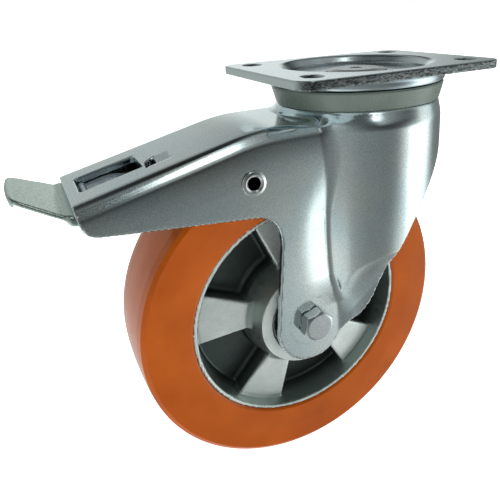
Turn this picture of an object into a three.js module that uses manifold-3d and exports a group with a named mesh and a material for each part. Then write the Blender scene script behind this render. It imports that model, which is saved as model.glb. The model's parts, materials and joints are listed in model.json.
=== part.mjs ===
// Swivel castor with a pedal brake that locks the wheel and the swivel together.
//
// Millimetres, +Z up. The origin is on the swivel axis, in the top face of the mounting plate.
// +X is the leading direction: the wheel trails towards -X, and the brake pedal is at the -X end.
// Every piece is one closed solid in its own mesh. Boolean cuts and joins are made with manifold-3d.

import * as THREE from 'three';
import { mergeVertices } from 'three/addons/utils/BufferGeometryUtils.js';
import Module from 'manifold-3d';

const wasm = await Module();
wasm.setup();

// ---------------------------------------------------------------- driving dimensions

const GAP = 0.3; // between faces that touch on the real castor

const WHEEL_RADIUS = 100;
const TREAD_WIDTH = 50;
const OVERALL_HEIGHT = 245;
const TRAIL = 57.5; // swivel axis to axle, along -X
const AXLE_X = -TRAIL;
const AXLE_Z = WHEEL_RADIUS - OVERALL_HEIGHT;

const PLATE_LENGTH = 135;
const PLATE_WIDTH = 110;
const PLATE_THICKNESS = 5;
const PLATE_CORNER = 10;
const SLOT_PITCH_X = 105;
const SLOT_PITCH_Y = 77.5;
const SLOT_WIDTH = 11;
const SLOT_LENGTH = 13.5;
const BOWL_RADIUS = 47;
const BOWL_FLOOR_RADIUS = 41;
const BOWL_DEPTH = 5;
const BOWL_OUTER_RADIUS = 53.5;
const BOWL_BOTTOM = -(BOWL_DEPTH + PLATE_THICKNESS);

const CROWN_TOP = -21.2; // top face of the fork's crown
const SHEET = 4; // fork sheet thickness
const CROWN_RADIUS = 50.3;
const CROWN_BORE = 19.5;
const DRUM_X = -5.2; // the legs' curved front is a drum about this point
const DRUM_RADIUS = 54.3;
const DRUM_TAPER_TOP = -90;
const DRUM_FOOT_RADIUS = 52;
const DRUM_FOOT = -160;
const FLAT_FROM = -120; // below this the drum runs out flat into the side walls
const FLAT_TO = -150;
const WALL_Y = 36; // outer face of the fork's flat side walls
const DRUM_REAR = 0.937; // the drum is this much shorter behind its middle, where it meets the walls
const BOSS_X = -57.6; // round lower end of each leg
const BOSS_Z = -148.5;
const BOSS_RADIUS = 22.9;
const AXLE_SEAT_RADIUS = 14;

const ARM_MOUTH_X = -174;
const ARM_MOUTH_TOP = -47.1;
const NECK_START_X = -82;
const NECK_TOP = -25.2;
const ARM_FOLD = 8; // outer fold radius along the arm's top edges
const ARM_SLOPE = (NECK_TOP - ARM_MOUTH_TOP) / (NECK_START_X - ARM_MOUTH_X);

const PIVOT_X = -88; // brake pivot, on the two hollow rivets
const PIVOT_Z = -51;
const BRAKE_ANGLE = 7.5; // degrees from released to locked
const LEVER_SHEET = 2.6;
const LEVER_HALF_WIDTH = 29.7;

const TONGUE_ROOT_X = -174.5; // foot plate outside the arm
const TONGUE_ROOT_Z = -52.2;
const TONGUE_SLOPE = -0.52;
const TONGUE_LENGTH = 24.4;
const TONGUE_ROOT_HALF = 29; // it narrows from here to the tip
const TONGUE_TIP_HALF = 22.6;
const TONGUE_SKIRT = 4.6; // depth of its turned-down end
const SHOE_SCREW_X = -117;
const SHOE_CLEARANCE = 0.4; // to the tread when the brake is on
const SHOE_HALF_WIDTH = 20;
const SPRING_RIVET_X = -132;
const SPRING_HALF_WIDTH = 11;
const SPRING_SHEET = 1.2;

const TAB_X0 = -136; // half-moon window in the arm's roof, and the tab at its far edge
const TAB_X1 = -122.5;
const TAB_Y0 = -16;
const TAB_Y1 = -4;

const KINGPIN_RADIUS = 8;
const PIN_CLEARANCE = 0.4;
const PIN_HEAD_RADIUS = 19;
const PIN_HEAD_TOP = -3.2;
const LOWER_CUP_TOP = -32.9;
const LOWER_CUP_BOTTOM = -35.9;
const LOWER_CUP_RADIUS = 32;
const LOCK_RING_TOP = LOWER_CUP_BOTTOM - GAP;
const LOCK_RING_BOTTOM = -39.7;
const LOCK_RING_RADIUS = 41;
const LOCK_TEETH = 16;
const NOTCH_HALF_WIDTH = 4.4;
const NOTCH_ROOT = 33.2;
const PIN_NUT_FLATS = 24;
const PIN_NUT_TOP = LOCK_RING_BOTTOM - GAP;
const PIN_NUT_BOTTOM = -48;
const PIN_END = -49;

const RIM_RADIUS = 70;
const RIM_INNER = 68;
const RIM_ROOT = 64.5; // the rim's bore where it meets the web
const RIM_HALF_WIDTH = 22.5;
const RIM_KEY = 6; // height of the ridge that the tyre grips
const RIM_KEY_HALF_WIDTH = 15;
const HUB_HALF_LENGTH = 30;
const HUB_END_RADIUS = 30.7;
const HUB_ROOT_RADIUS = 36;
const WEB_HALF_WIDTH = 3;
const SPOKES = 5;
const SPOKE_PHASE = 46; // degrees, first spoke from +X towards -Z
const SPOKE_HALF_AT_HUB = 6.5;
const SPOKE_HALF_AT_RIM = 16.5;
const BEARING_OUTER = 23.5;
const BEARING_BORE = 10;
const BEARING_WIDTH = 14;

const BOLT_RADIUS = 6; // M12
const BOLT_FLATS = 18;
const BOLT_HEAD = 8.1; // with its washer face
const BOLT_TURN = 16; // degrees from +X to a corner of the head
const NUT_FLATS = 19;
const BOLT_END = 51.5;
const WASHER_THICKNESS = 2.2;
const LEG_INNER = WALL_Y - SHEET;

const ROUND = 32; // facets round a large circle
const SMALL = 16; // facets round a small one

// ---------------------------------------------------------------- materials

const zinc = new THREE.MeshStandardMaterial({ color: 0xb9c2c3, roughness: 0.32, metalness: 1 });
const brightZinc = new THREE.MeshStandardMaterial({ color: 0xcfd4d4, roughness: 0.25, metalness: 1 });
const steel = new THREE.MeshStandardMaterial({ color: 0x8f9496, roughness: 0.3, metalness: 1 });
const springSteel = new THREE.MeshStandardMaterial({ color: 0x6f7880, roughness: 0.35, metalness: 1 });
const aluminium = new THREE.MeshStandardMaterial({ color: 0xb4b8b6, roughness: 0.45, metalness: 1 });
const polyurethane = new THREE.MeshStandardMaterial({ color: 0xd2691e, roughness: 0.3, metalness: 0 });
const greyPlastic = new THREE.MeshStandardMaterial({ color: 0x8b9188, roughness: 0.5, metalness: 0 });
const cagePlastic = new THREE.MeshStandardMaterial({ color: 0x3a3d3f, roughness: 0.6, metalness: 0 });

// ---------------------------------------------------------------- solids from three.js geometry

function signedVolume(positions, index) {
  const a = new THREE.Vector3();
  const b = new THREE.Vector3();
  const c = new THREE.Vector3();
  let sum = 0;
  for (let i = 0; i < index.length; i += 3) {
    a.fromArray(positions, index[i] * 3);
    b.fromArray(positions, index[i + 1] * 3);
    c.fromArray(positions, index[i + 2] * 3);
    sum += a.dot(b.cross(c));
  }
  return sum / 6;
}

// A three.js geometry as a manifold-3d solid, facing outwards whichever way it was wound.
function solid(geometry) {
  const bare = geometry.clone();
  for (const name of Object.keys(bare.attributes)) {
    if (name !== 'position') bare.deleteAttribute(name);
  }
  const merged = mergeVertices(bare, 1e-4);
  const positions = merged.attributes.position.array;
  const source = merged.index.array;
  const index = [];
  for (let i = 0; i < source.length; i += 3) {
    const [a, b, c] = [source[i], source[i + 1], source[i + 2]];
    if (a !== b && b !== c && c !== a) index.push(a, b, c);
  }
  if (signedVolume(positions, index) < 0) {
    for (let i = 0; i < index.length; i += 3) {
      [index[i + 1], index[i + 2]] = [index[i + 2], index[i + 1]];
    }
  }
  const vertProperties = new Float32Array(positions);
  const triVerts = new Uint32Array(index);
  return new wasm.Manifold(new wasm.Mesh({ numProp: 3, vertProperties, triVerts }));
}

function join(...parts) {
  return parts.reduce((whole, part) => whole.add(part));
}

function cut(whole, ...parts) {
  return parts.reduce((rest, part) => rest.subtract(part), whole);
}

function mesh(name, body, material) {
  const { vertProperties, triVerts } = body.getMesh();
  const geometry = new THREE.BufferGeometry();
  geometry.setAttribute('position', new THREE.BufferAttribute(vertProperties, 3));
  geometry.setIndex(new THREE.BufferAttribute(triVerts, 1));
  geometry.computeVertexNormals();
  const piece = new THREE.Mesh(geometry, material);
  piece.name = name;
  return piece;
}

// An outline in X and Y, extruded from z0 to z1.
function plate(shape, z0, z1, curveSegments = 8) {
  const geometry = new THREE.ExtrudeGeometry(shape, { depth: z1 - z0, bevelEnabled: false, curveSegments });
  return solid(geometry.translate(0, 0, z0));
}

// An outline in X and Z, extruded from y0 to y1.
function slab(shape, y0, y1, curveSegments = 8) {
  const geometry = new THREE.ExtrudeGeometry(shape, { depth: y1 - y0, bevelEnabled: false, curveSegments });
  return solid(geometry.rotateX(Math.PI / 2).translate(0, y1, 0));
}

// An outline in Y and Z, extruded from x0 to x1.
function beam(shape, x0, x1, curveSegments = 4) {
  const geometry = new THREE.ExtrudeGeometry(shape, { depth: x1 - x0, bevelEnabled: false, curveSegments });
  const turn = new THREE.Matrix4().set(0, 0, 1, x0, 1, 0, 0, 0, 0, 1, 0, 0, 0, 0, 0, 1);
  return solid(geometry.applyMatrix4(turn));
}

// A closed outline of radius and height, turned about a vertical axis through (x, 0).
function turned(outline, segments = ROUND, x = 0) {
  const points = [...outline, outline[0]].map(([r, z]) => new THREE.Vector2(r, z));
  return solid(new THREE.LatheGeometry(points, segments).rotateX(Math.PI / 2).translate(x, 0, 0));
}

// A closed outline of radius and Y, turned about the axle.
function wheelTurned(outline, segments = ROUND) {
  const points = [...outline, outline[0]].map(([r, y]) => new THREE.Vector2(r, y));
  return solid(new THREE.LatheGeometry(points, segments).translate(AXLE_X, 0, AXLE_Z));
}

// A round bar along Y, centred on (x, z).
function crossBar(x, z, radius, y0, y1, segments = SMALL) {
  const geometry = new THREE.CylinderGeometry(radius, radius, y1 - y0, segments);
  return solid(geometry.translate(x, (y0 + y1) / 2, z));
}

function box(x0, x1, y0, y1, z0, z1) {
  const geometry = new THREE.BoxGeometry(x1 - x0, y1 - y0, z1 - z0);
  return solid(geometry.translate((x0 + x1) / 2, (y0 + y1) / 2, (z0 + z1) / 2));
}

function polygon(points) {
  return new THREE.Shape(points.map(([u, v]) => new THREE.Vector2(u, v)));
}

function roundedRectangle(halfX, halfY, radius) {
  const shape = new THREE.Shape();
  shape.absarc(halfX - radius, halfY - radius, radius, 0, Math.PI / 2, false);
  shape.absarc(radius - halfX, halfY - radius, radius, Math.PI / 2, Math.PI, false);
  shape.absarc(radius - halfX, radius - halfY, radius, Math.PI, 1.5 * Math.PI, false);
  shape.absarc(halfX - radius, radius - halfY, radius, 1.5 * Math.PI, 2 * Math.PI, false);
  return shape;
}

function hexagon(acrossFlats, holeRadius) {
  const corner = acrossFlats / Math.sqrt(3);
  const geometry = new THREE.Shape();
  for (let i = 0; i < 6; i += 1) {
    const angle = (i * Math.PI) / 3;
    const move = i === 0 ? 'moveTo' : 'lineTo';
    geometry[move](corner * Math.cos(angle), corner * Math.sin(angle));
  }
  geometry.closePath();
  if (holeRadius > 0) {
    const hole = new THREE.Path();
    hole.absarc(0, 0, holeRadius, 0, 2 * Math.PI, true);
    geometry.holes.push(hole);
  }
  return geometry;
}

// Turns a solid about the brake pivot; positive takes the pedal down.
function aboutPivot(body, degrees) {
  return body
    .translate([-PIVOT_X, 0, -PIVOT_Z])
    .rotate([0, -degrees, 0])
    .translate([PIVOT_X, 0, PIVOT_Z]);
}

// ---------------------------------------------------------------- mounting plate and swivel bearing

function topPlate() {
  const outline = roundedRectangle(PLATE_LENGTH / 2, PLATE_WIDTH / 2, PLATE_CORNER);
  for (const sx of [-1, 1]) {
    for (const sy of [-1, 1]) {
      const x = (sx * SLOT_PITCH_X) / 2;
      const y = (sy * SLOT_PITCH_Y) / 2;
      const straight = (SLOT_LENGTH - SLOT_WIDTH) / 2;
      const slot = new THREE.Path();
      slot.absarc(x, y + straight, SLOT_WIDTH / 2, 0, Math.PI, false);
      slot.absarc(x, y - straight, SLOT_WIDTH / 2, Math.PI, 2 * Math.PI, false);
      outline.holes.push(slot);
    }
  }
  const sheet = plate(outline, -PLATE_THICKNESS, 0, 5);
  const bowl = turned([
    [0, BOWL_BOTTOM],
    [BOWL_OUTER_RADIUS - 1.5, BOWL_BOTTOM],
    [BOWL_OUTER_RADIUS, BOWL_BOTTOM + 1.5],
    [BOWL_OUTER_RADIUS, -PLATE_THICKNESS + 1],
    [0, -PLATE_THICKNESS + 1],
  ]);
  const hollow = turned([
    [0, -BOWL_DEPTH],
    [BOWL_FLOOR_RADIUS, -BOWL_DEPTH],
    [BOWL_FLOOR_RADIUS + 2, -BOWL_DEPTH + 1],
    [BOWL_RADIUS - 2, -1],
    [BOWL_RADIUS, 0],
    [BOWL_RADIUS, 2],
    [0, 2],
  ]);
  const pinHole = turned([
    [0, BOWL_BOTTOM - 1],
    [KINGPIN_RADIUS + PIN_CLEARANCE, BOWL_BOTTOM - 1],
    [KINGPIN_RADIUS + PIN_CLEARANCE, 1],
    [0, 1],
  ], SMALL);
  return cut(join(sheet, bowl), hollow, pinHole);
}

function kingpin() {
  const headBottom = -BOWL_DEPTH + GAP;
  return turned([
    [0, PIN_END],
    [KINGPIN_RADIUS - 1, PIN_END],
    [KINGPIN_RADIUS, PIN_END + 1],
    [KINGPIN_RADIUS, headBottom],
    [PIN_HEAD_RADIUS, headBottom],
    [PIN_HEAD_RADIUS, headBottom + 0.8],
    [13, PIN_HEAD_TOP],
    [0, PIN_HEAD_TOP],
  ], SMALL);
}

function kingpinSleeve() {
  const bore = KINGPIN_RADIUS + PIN_CLEARANCE;
  return turned([
    [bore, LOWER_CUP_TOP + GAP],
    [13, LOWER_CUP_TOP + GAP],
    [13, BOWL_BOTTOM - GAP],
    [bore, BOWL_BOTTOM - GAP],
  ], SMALL);
}

function lowerRaceCup() {
  const bore = KINGPIN_RADIUS + PIN_CLEARANCE;
  const rimTop = -27.2;
  const rimInner = LOWER_CUP_RADIUS - 2.6;
  return turned([
    [bore, LOWER_CUP_BOTTOM],
    [LOWER_CUP_RADIUS - 2, LOWER_CUP_BOTTOM],
    [LOWER_CUP_RADIUS, LOWER_CUP_BOTTOM + 2],
    [LOWER_CUP_RADIUS, rimTop],
    [rimInner, rimTop],
    [rimInner, LOWER_CUP_TOP + 1],
    [rimInner - 1, LOWER_CUP_TOP],
    [bore, LOWER_CUP_TOP],
  ]);
}

// A brake ring with open notches round its rim, for the lever's nose to rise into.
function swivelLockRing() {
  const bore = KINGPIN_RADIUS + PIN_CLEARANCE;
  const ring = turned([
    [bore, LOCK_RING_BOTTOM],
    [LOCK_RING_RADIUS, LOCK_RING_BOTTOM],
    [LOCK_RING_RADIUS, LOCK_RING_TOP],
    [bore, LOCK_RING_TOP],
  ]);
  const notches = [];
  for (let i = 0; i < LOCK_TEETH; i += 1) {
    const notch = box(NOTCH_ROOT, LOCK_RING_RADIUS + 3, -NOTCH_HALF_WIDTH, NOTCH_HALF_WIDTH,
      LOCK_RING_BOTTOM - 1, LOCK_RING_TOP + 1);
    notches.push(notch.rotate([0, 0, (i * 360) / LOCK_TEETH]));
  }
  return cut(ring, ...notches);
}

function kingpinNut() {
  const outline = hexagon(PIN_NUT_FLATS, KINGPIN_RADIUS + PIN_CLEARANCE);
  return plate(outline, PIN_NUT_BOTTOM, PIN_NUT_TOP, 12);
}

function swivelSeal() {
  const top = BOWL_BOTTOM - GAP;
  const bottom = CROWN_TOP + GAP;
  return turned([
    [46.9, bottom],
    [50.0, bottom],
    [50.5, bottom + 0.6],
    [53.0, top - 1],
    [52.8, top],
    [49.4, top],
  ]);
}

// Balls joined to their cage, in a ring about a vertical axis.
function ballRing(pitchRadius, ballRadius, count, z, cageHalfWidth, cageHalfHeight) {
  let ring = turned([
    [pitchRadius - cageHalfWidth, z - cageHalfHeight],
    [pitchRadius + cageHalfWidth, z - cageHalfHeight],
    [pitchRadius + cageHalfWidth, z + cageHalfHeight],
    [pitchRadius - cageHalfWidth, z + cageHalfHeight],
  ], SMALL * 2);
  for (let i = 0; i < count; i += 1) {
    const angle = (i * 2 * Math.PI) / count;
    const ball = new THREE.OctahedronGeometry(ballRadius, 1);
    ball.translate(pitchRadius * Math.cos(angle), pitchRadius * Math.sin(angle), z);
    ring = ring.add(solid(ball));
  }
  return ring;
}

// ---------------------------------------------------------------- fork housing

// Side view of the pressed housing: arm, neck, crown, arch, leg and its round end.
function housingSideOutline() {
  const shape = new THREE.Shape();
  shape.moveTo(ARM_MOUTH_X, ARM_MOUTH_TOP);
  shape.lineTo(ARM_MOUTH_X, -15);
  shape.lineTo(60, -15);
  shape.lineTo(60, -45);
  shape.lineTo(48, -45.5);
  shape.splineThru([
    new THREE.Vector2(38, -49.5),
    new THREE.Vector2(28.5, -59.5),
    new THREE.Vector2(12.5, -78),
    new THREE.Vector2(-3.3, -100.5),
    new THREE.Vector2(-17.7, -124),
    new THREE.Vector2(-21.9, -137),
    new THREE.Vector2(-28, -147.6),
    new THREE.Vector2(-37.9, -158.1),
    new THREE.Vector2(-45.2, -167),
  ]);
  shape.absarc(BOSS_X, BOSS_Z, BOSS_RADIUS, -1.08, -Math.PI, true);
  shape.lineTo(-74.2, -91);
  shape.quadraticCurveTo(-73.4, -71.8, -90, -70.4);
  shape.lineTo(-165, -62.1);
  shape.quadraticCurveTo(-170.6, -61.3, -172.2, -56.7);
  shape.closePath();
  return shape;
}

// Cross-section of the arm, open downwards, with its top edge at height zero.
function channelSection(halfWidth, foldRadius, depth) {
  const shape = new THREE.Shape();
  shape.moveTo(-halfWidth, -depth);
  shape.lineTo(halfWidth, -depth);
  shape.absarc(halfWidth - foldRadius, -foldRadius, foldRadius, 0, Math.PI / 2, false);
  shape.absarc(foldRadius - halfWidth, -foldRadius, foldRadius, Math.PI / 2, Math.PI, false);
  shape.closePath();
  return shape;
}

// The rising arm and the level neck behind the crown, as a solid of the given half width.
// drop lowers its roof below the outer skin.
function armSolid(halfWidth, foldRadius, drop, mouthOverrun) {
  const depth = 160;
  const x0 = ARM_MOUTH_X - mouthOverrun;
  const rising = beam(channelSection(halfWidth, foldRadius, depth), x0, NECK_START_X);
  const lift = new Array(16).fill(0);
  for (let i = 0; i < 4; i += 1) lift[i * 5] = 1;
  lift[2] = ARM_SLOPE;
  lift[14] = NECK_TOP - ARM_SLOPE * NECK_START_X - drop;
  const neck = beam(channelSection(halfWidth, foldRadius, depth), NECK_START_X, -30)
    .translate([0, 0, NECK_TOP - drop]);
  return join(rising.transform(lift), neck);
}

// The drum that forms the crown and the curved fronts of the legs; inset moves its skin inwards.
function drumSolid(inset) {
  const top = CROWN_TOP - inset;
  const crown = turned([
    [0, -60],
    [CROWN_RADIUS - inset, -60],
    [CROWN_RADIUS - inset, top - 1.8],
    [CROWN_RADIUS - inset - 1.6, top],
    [0, top],
  ]);
  const shoulderTop = CROWN_TOP - 2.2 - inset;
  const radius = DRUM_RADIUS - inset;
  const legs = turned([
    [0, -190],
    [DRUM_FOOT_RADIUS - inset - 3, -190],
    [DRUM_FOOT_RADIUS - inset, DRUM_FOOT],
    [radius, DRUM_TAPER_TOP],
    [radius, shoulderTop - 7],
    [radius - 1.4, shoulderTop - 3],
    [radius - 5, shoulderTop],
    [0, shoulderTop],
  ], ROUND, DRUM_X).warp((point) => {
    if (point[0] < DRUM_X) point[0] = DRUM_X + (point[0] - DRUM_X) * DRUM_REAR;
  });
  const wide = radius + 5;
  const flat = WALL_Y + 1 - inset;
  const sides = beam(polygon([
    [-wide, 0],
    [-wide, FLAT_FROM + 8],
    [4 - radius, FLAT_FROM],
    [-flat, FLAT_TO],
    [-flat, -200],
    [flat, -200],
    [flat, FLAT_TO],
    [radius - 4, FLAT_FROM],
    [wide, FLAT_FROM + 8],
    [wide, 0],
  ]), -100, 100);
  return join(crown, legs.intersect(sides));
}

// A disc round the axle between two distances from the middle plane, on one side.
function axleDisc(side, radius, inner, outer) {
  const [y0, y1] = side < 0 ? [-outer, -inner] : [inner, outer];
  return crossBar(AXLE_X, AXLE_Z, radius, y0, y1, ROUND);
}

// The pressed housing as one shell: crown, neck and arm, drum, two legs and their axle pads.
function forkHousing() {
  const cavityOverrun = 20;
  const skin = join(armSolid(WALL_Y, ARM_FOLD, 0, 0), drumSolid(0))
    .intersect(slab(housingSideOutline(), -70, 70, 5));
  const seats = [-1, 1].map((side) => axleDisc(side, AXLE_SEAT_RADIUS, WALL_Y, 70));
  const cavity = join(
    armSolid(WALL_Y - SHEET, ARM_FOLD - SHEET, SHEET, cavityOverrun),
    drumSolid(SHEET),
  );
  const pads = [-1, 1].map((side) => axleDisc(side, AXLE_SEAT_RADIUS + 2, WALL_Y - SHEET, WALL_Y));
  const shell = join(cut(skin, ...seats, cavity), ...pads);
  const pinHole = turned([
    [0, -40],
    [CROWN_BORE, -40],
    [CROWN_BORE, -10],
    [0, -10],
  ], 32);
  const springSlot = box(-168, -137, -12.5, 12.5, -60, -30);
  const tabWindow = plate(tabWindowOutline(), -50, -28, 8);
  const rivetHoles = crossBar(PIVOT_X, PIVOT_Z, 5.7, -50, 50);
  const axleHoles = crossBar(AXLE_X, AXLE_Z, BOLT_RADIUS + PIN_CLEARANCE, -50, 50);
  return cut(shell, pinHole, springSlot, tabWindow, rivetHoles, axleHoles).add(lancedTab());
}

// A small half-round window beside the slot.
function tabWindowOutline() {
  const shape = new THREE.Shape();
  shape.moveTo(TAB_X0, TAB_Y0);
  shape.lineTo(TAB_X1, TAB_Y0);
  shape.lineTo(TAB_X1, TAB_Y1);
  shape.lineTo(TAB_X0 + 6, TAB_Y1);
  shape.quadraticCurveTo(TAB_X0, TAB_Y1, TAB_X0, TAB_Y0);
  return shape;
}

// The tab that is pressed down from the window's far edge and fills its front end.
function lancedTab() {
  const flap = beam(polygon([
    [TAB_Y1 + 0.5, -0.4],
    [TAB_Y1 + 0.5, -3],
    [TAB_Y0 + 0.4, -4],
    [TAB_Y0 + 0.4, -2.2],
  ]), TAB_X0 + 5.5, TAB_X1 + 0.5);
  const lift = new Array(16).fill(0);
  for (let i = 0; i < 4; i += 1) lift[i * 5] = 1;
  lift[2] = ARM_SLOPE;
  lift[14] = NECK_TOP - ARM_SLOPE * NECK_START_X;
  return flap.transform(lift);
}

// A hollow rivet through one side wall: two flanges on a tube that is closed at its inner end.
function hollowRivet(side) {
  const tube = 5.3;
  const flange = 7.6;
  const bore = 4.2;
  const inner = WALL_Y - SHEET - GAP;
  const outer = WALL_Y + GAP;
  const points = [
    [0, 26.9],
    [tube, 26.9],
    [tube, inner - 1.2],
    [6.9, inner - 1.2],
    [6.9, inner],
    [tube, inner],
    [tube, outer],
    [flange, outer],
    [flange - 0.3, outer + 0.8],
    [bore + 1.2, outer + 1.4],
    [bore, outer + 0.6],
    [bore, 28],
    [0, 28],
  ].map(([r, y]) => new THREE.Vector2(r, side * y));
  return solid(new THREE.LatheGeometry(points, SMALL).translate(PIVOT_X, 0, PIVOT_Z));
}

// ---------------------------------------------------------------- brake lever

// Side view of the lever's roof; the pedal tongue is added to its left end.
const LEVER_ROOF = [
  [-175, -52.2],
  [-124, -50.4],
  [-104, -48.0],
  [-88, -44.6],
  [-70, -40.6],
  [-60, -39.9],
  [-52, -41.2],
  [-36.2, -41.2],
];

function leverRoofOutline() {
  const under = LEVER_ROOF.map(([x, z]) => [x, z - LEVER_SHEET]).reverse();
  return polygon([...LEVER_ROOF, ...under]);
}

// Plan view of the lever: full width between the cheeks, a narrow nose, and one locking tooth.
function leverPlan() {
  return polygon([
    [-175, -TONGUE_ROOT_HALF],
    [-168, -29.4],
    [-160, -LEVER_HALF_WIDTH],
    [-66, -LEVER_HALF_WIDTH],
    [-56, -14],
    [-44.5, -12],
    [-44.5, -3.6],
    [-36.2, -3.2],
    [-36.2, 3.2],
    [-44.5, 3.6],
    [-44.5, 12],
    [-56, 14],
    [-66, LEVER_HALF_WIDTH],
    [-160, LEVER_HALF_WIDTH],
    [-168, 29.4],
    [-175, TONGUE_ROOT_HALF],
  ]);
}

function leverCheekOutline() {
  const shape = new THREE.Shape();
  shape.moveTo(-158, -52.8);
  shape.lineTo(-152, -58);
  shape.lineTo(-104, -60.4);
  shape.absarc(PIVOT_X, PIVOT_Z, 11, -2.2, -0.5, false);
  shape.lineTo(-68, -42.4);
  shape.lineTo(-70, -41.2);
  shape.lineTo(-88, -45.2);
  shape.lineTo(-104, -48.6);
  shape.lineTo(-124, -51);
  shape.closePath();
  return shape;
}

// The foot plate outside the arm: a sloping tongue with a rounded, turned-down outer end.
function pedalTongue() {
  const length = TONGUE_LENGTH;
  const tip = TONGUE_TIP_HALF;
  const shape = new THREE.Shape();
  shape.moveTo(0, -TONGUE_ROOT_HALF);
  shape.lineTo(0, TONGUE_ROOT_HALF);
  shape.lineTo(-8, TONGUE_ROOT_HALF - 2.4);
  shape.lineTo(6 - length, tip);
  shape.quadraticCurveTo(0.8 - length, tip - 1.4, 0.6 - length, tip - 9);
  shape.quadraticCurveTo(-length, 0, 0.6 - length, 9 - tip);
  shape.quadraticCurveTo(0.8 - length, 1.4 - tip, 6 - length, -tip);
  shape.lineTo(-8, 2.4 - TONGUE_ROOT_HALF);
  shape.closePath();
  const tilt = new Array(16).fill(0);
  for (let i = 0; i < 4; i += 1) tilt[i * 5] = 1;
  tilt[2] = TONGUE_SLOPE;
  const sheet = plate(shape, -LEVER_SHEET, 0, 6).add(
    cut(plate(shape, -TONGUE_SKIRT, -LEVER_SHEET / 2, 6), box(2.4 - length, 10, -40, 40, -10, 0)),
  );
  return sheet.transform(tilt).translate([TONGUE_ROOT_X, 0, TONGUE_ROOT_Z]);
}

// An upright hole through the lever, its shoe or its spring.
function uprightDrill(x, radius) {
  return turned([
    [0, -80],
    [radius, -80],
    [radius, -20],
    [0, -20],
  ], 12, x);
}

function brakeLever() {
  const roof = slab(leverRoofOutline(), -40, 40).intersect(plate(leverPlan(), -80, -20));
  const cheekInner = LEVER_HALF_WIDTH - LEVER_SHEET;
  const cheek = slab(leverCheekOutline(), cheekInner, LEVER_HALF_WIDTH, 8);
  const body = join(roof, cheek, cheek.mirror([0, 1, 0]), pedalTongue());
  const pivotHoles = crossBar(PIVOT_X, PIVOT_Z, 5.6, -40, 40);
  return cut(body, pivotHoles, uprightDrill(SHOE_SCREW_X, 2.6), uprightDrill(SPRING_RIVET_X, 2.3));
}

// The brake shoe is concentric with the wheel when the brake is on, then swung back to rest.
function brakeShoe() {
  const facing = WHEEL_RADIUS + SHOE_CLEARANCE;
  const from = THREE.MathUtils.degToRad(119);
  const to = THREE.MathUtils.degToRad(136);
  const shape = new THREE.Shape();
  shape.absarc(AXLE_X, AXLE_Z, facing, from, to, false);
  shape.absarc(AXLE_X, AXLE_Z, facing + 16, to, from, true);
  shape.closePath();
  const block = aboutPivot(slab(shape, -SHOE_HALF_WIDTH, SHOE_HALF_WIDTH, 8), -BRAKE_ANGLE);
  const underRoof = polygon([
    [-127.6, -53.8],
    [-124, -53.4],
    [-104, -51.0],
    [-90, -47.9],
    [-90, -80],
    [-127.6, -80],
  ]);
  return cut(block.intersect(slab(underRoof, -30, 30)), uprightDrill(SHOE_SCREW_X, 2.4));
}

// Domed screw from above the lever's roof into the shoe.
function shoeScrew() {
  const roof = -48.8;
  return turned([
    [0, -58.5],
    [2, -58.5],
    [2, roof + GAP],
    [4.6, roof + GAP],
    [4.6, roof + GAP + 1.2],
    [2.6, roof + GAP + 2.6],
    [0, roof + GAP + 2.6],
  ], 12, SHOE_SCREW_X);
}

// Leaf spring riveted to the lever, arching up under the slot in the arm, with a rolled end.
function leafSpring() {
  const line = new THREE.SplineCurve([
    new THREE.Vector2(-127.5, -50.1),
    new THREE.Vector2(-135.5, -50.4),
    new THREE.Vector2(-142, -48.0),
    new THREE.Vector2(-150, -46.8),
    new THREE.Vector2(-158, -48.2),
    new THREE.Vector2(-164.6, -50.0),
  ]).getPoints(20);
  const upper = line.map((p) => [p.x, p.y + SPRING_SHEET / 2 + 0.5]);
  const lower = line.map((p) => [p.x, p.y - SPRING_SHEET / 2 + 0.5]).reverse();
  const strip = slab(polygon([...upper, ...lower]), -SPRING_HALF_WIDTH, SPRING_HALF_WIDTH);
  const roll = crossBar(-165.2, -49.2, 1.8, -SPRING_HALF_WIDTH, SPRING_HALF_WIDTH, 12);
  return cut(join(strip, roll), uprightDrill(SPRING_RIVET_X, 2.3));
}

function springRivet() {
  return turned([
    [0, -55.2],
    [3.4, -55.2],
    [3.4, -53.9],
    [1.9, -53.9],
    [1.9, -49.0],
    [3.6, -49.0],
    [3.2, -47.6],
    [0, -47.4],
  ], 12, SPRING_RIVET_X);
}

// ---------------------------------------------------------------- wheel

function tyre() {
  const shoulder = WHEEL_RADIUS - 1.4;
  const half = TREAD_WIDTH / 2;
  const bond = RIM_RADIUS + GAP;
  const key = RIM_RADIUS + RIM_KEY + GAP;
  const keyHalf = RIM_KEY_HALF_WIDTH;
  const side = [
    [bond, half - 2.2],
    [bond + 3, half - 1.2],
    [84, half - 0.5],
    [shoulder - 2.5, half],
    [shoulder, half - 1.2],
    [WHEEL_RADIUS - 0.35, half - 8],
    [WHEEL_RADIUS, 0],
  ];
  const mirrored = side.slice(0, -1).map(([r, y]) => [r, -y]).reverse();
  const groove = [
    [bond, -keyHalf - 1],
    [key, -keyHalf],
    [key, keyHalf],
    [bond, keyHalf + 1],
  ];
  return wheelTurned([...side, ...mirrored, ...groove], 48);
}

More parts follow.
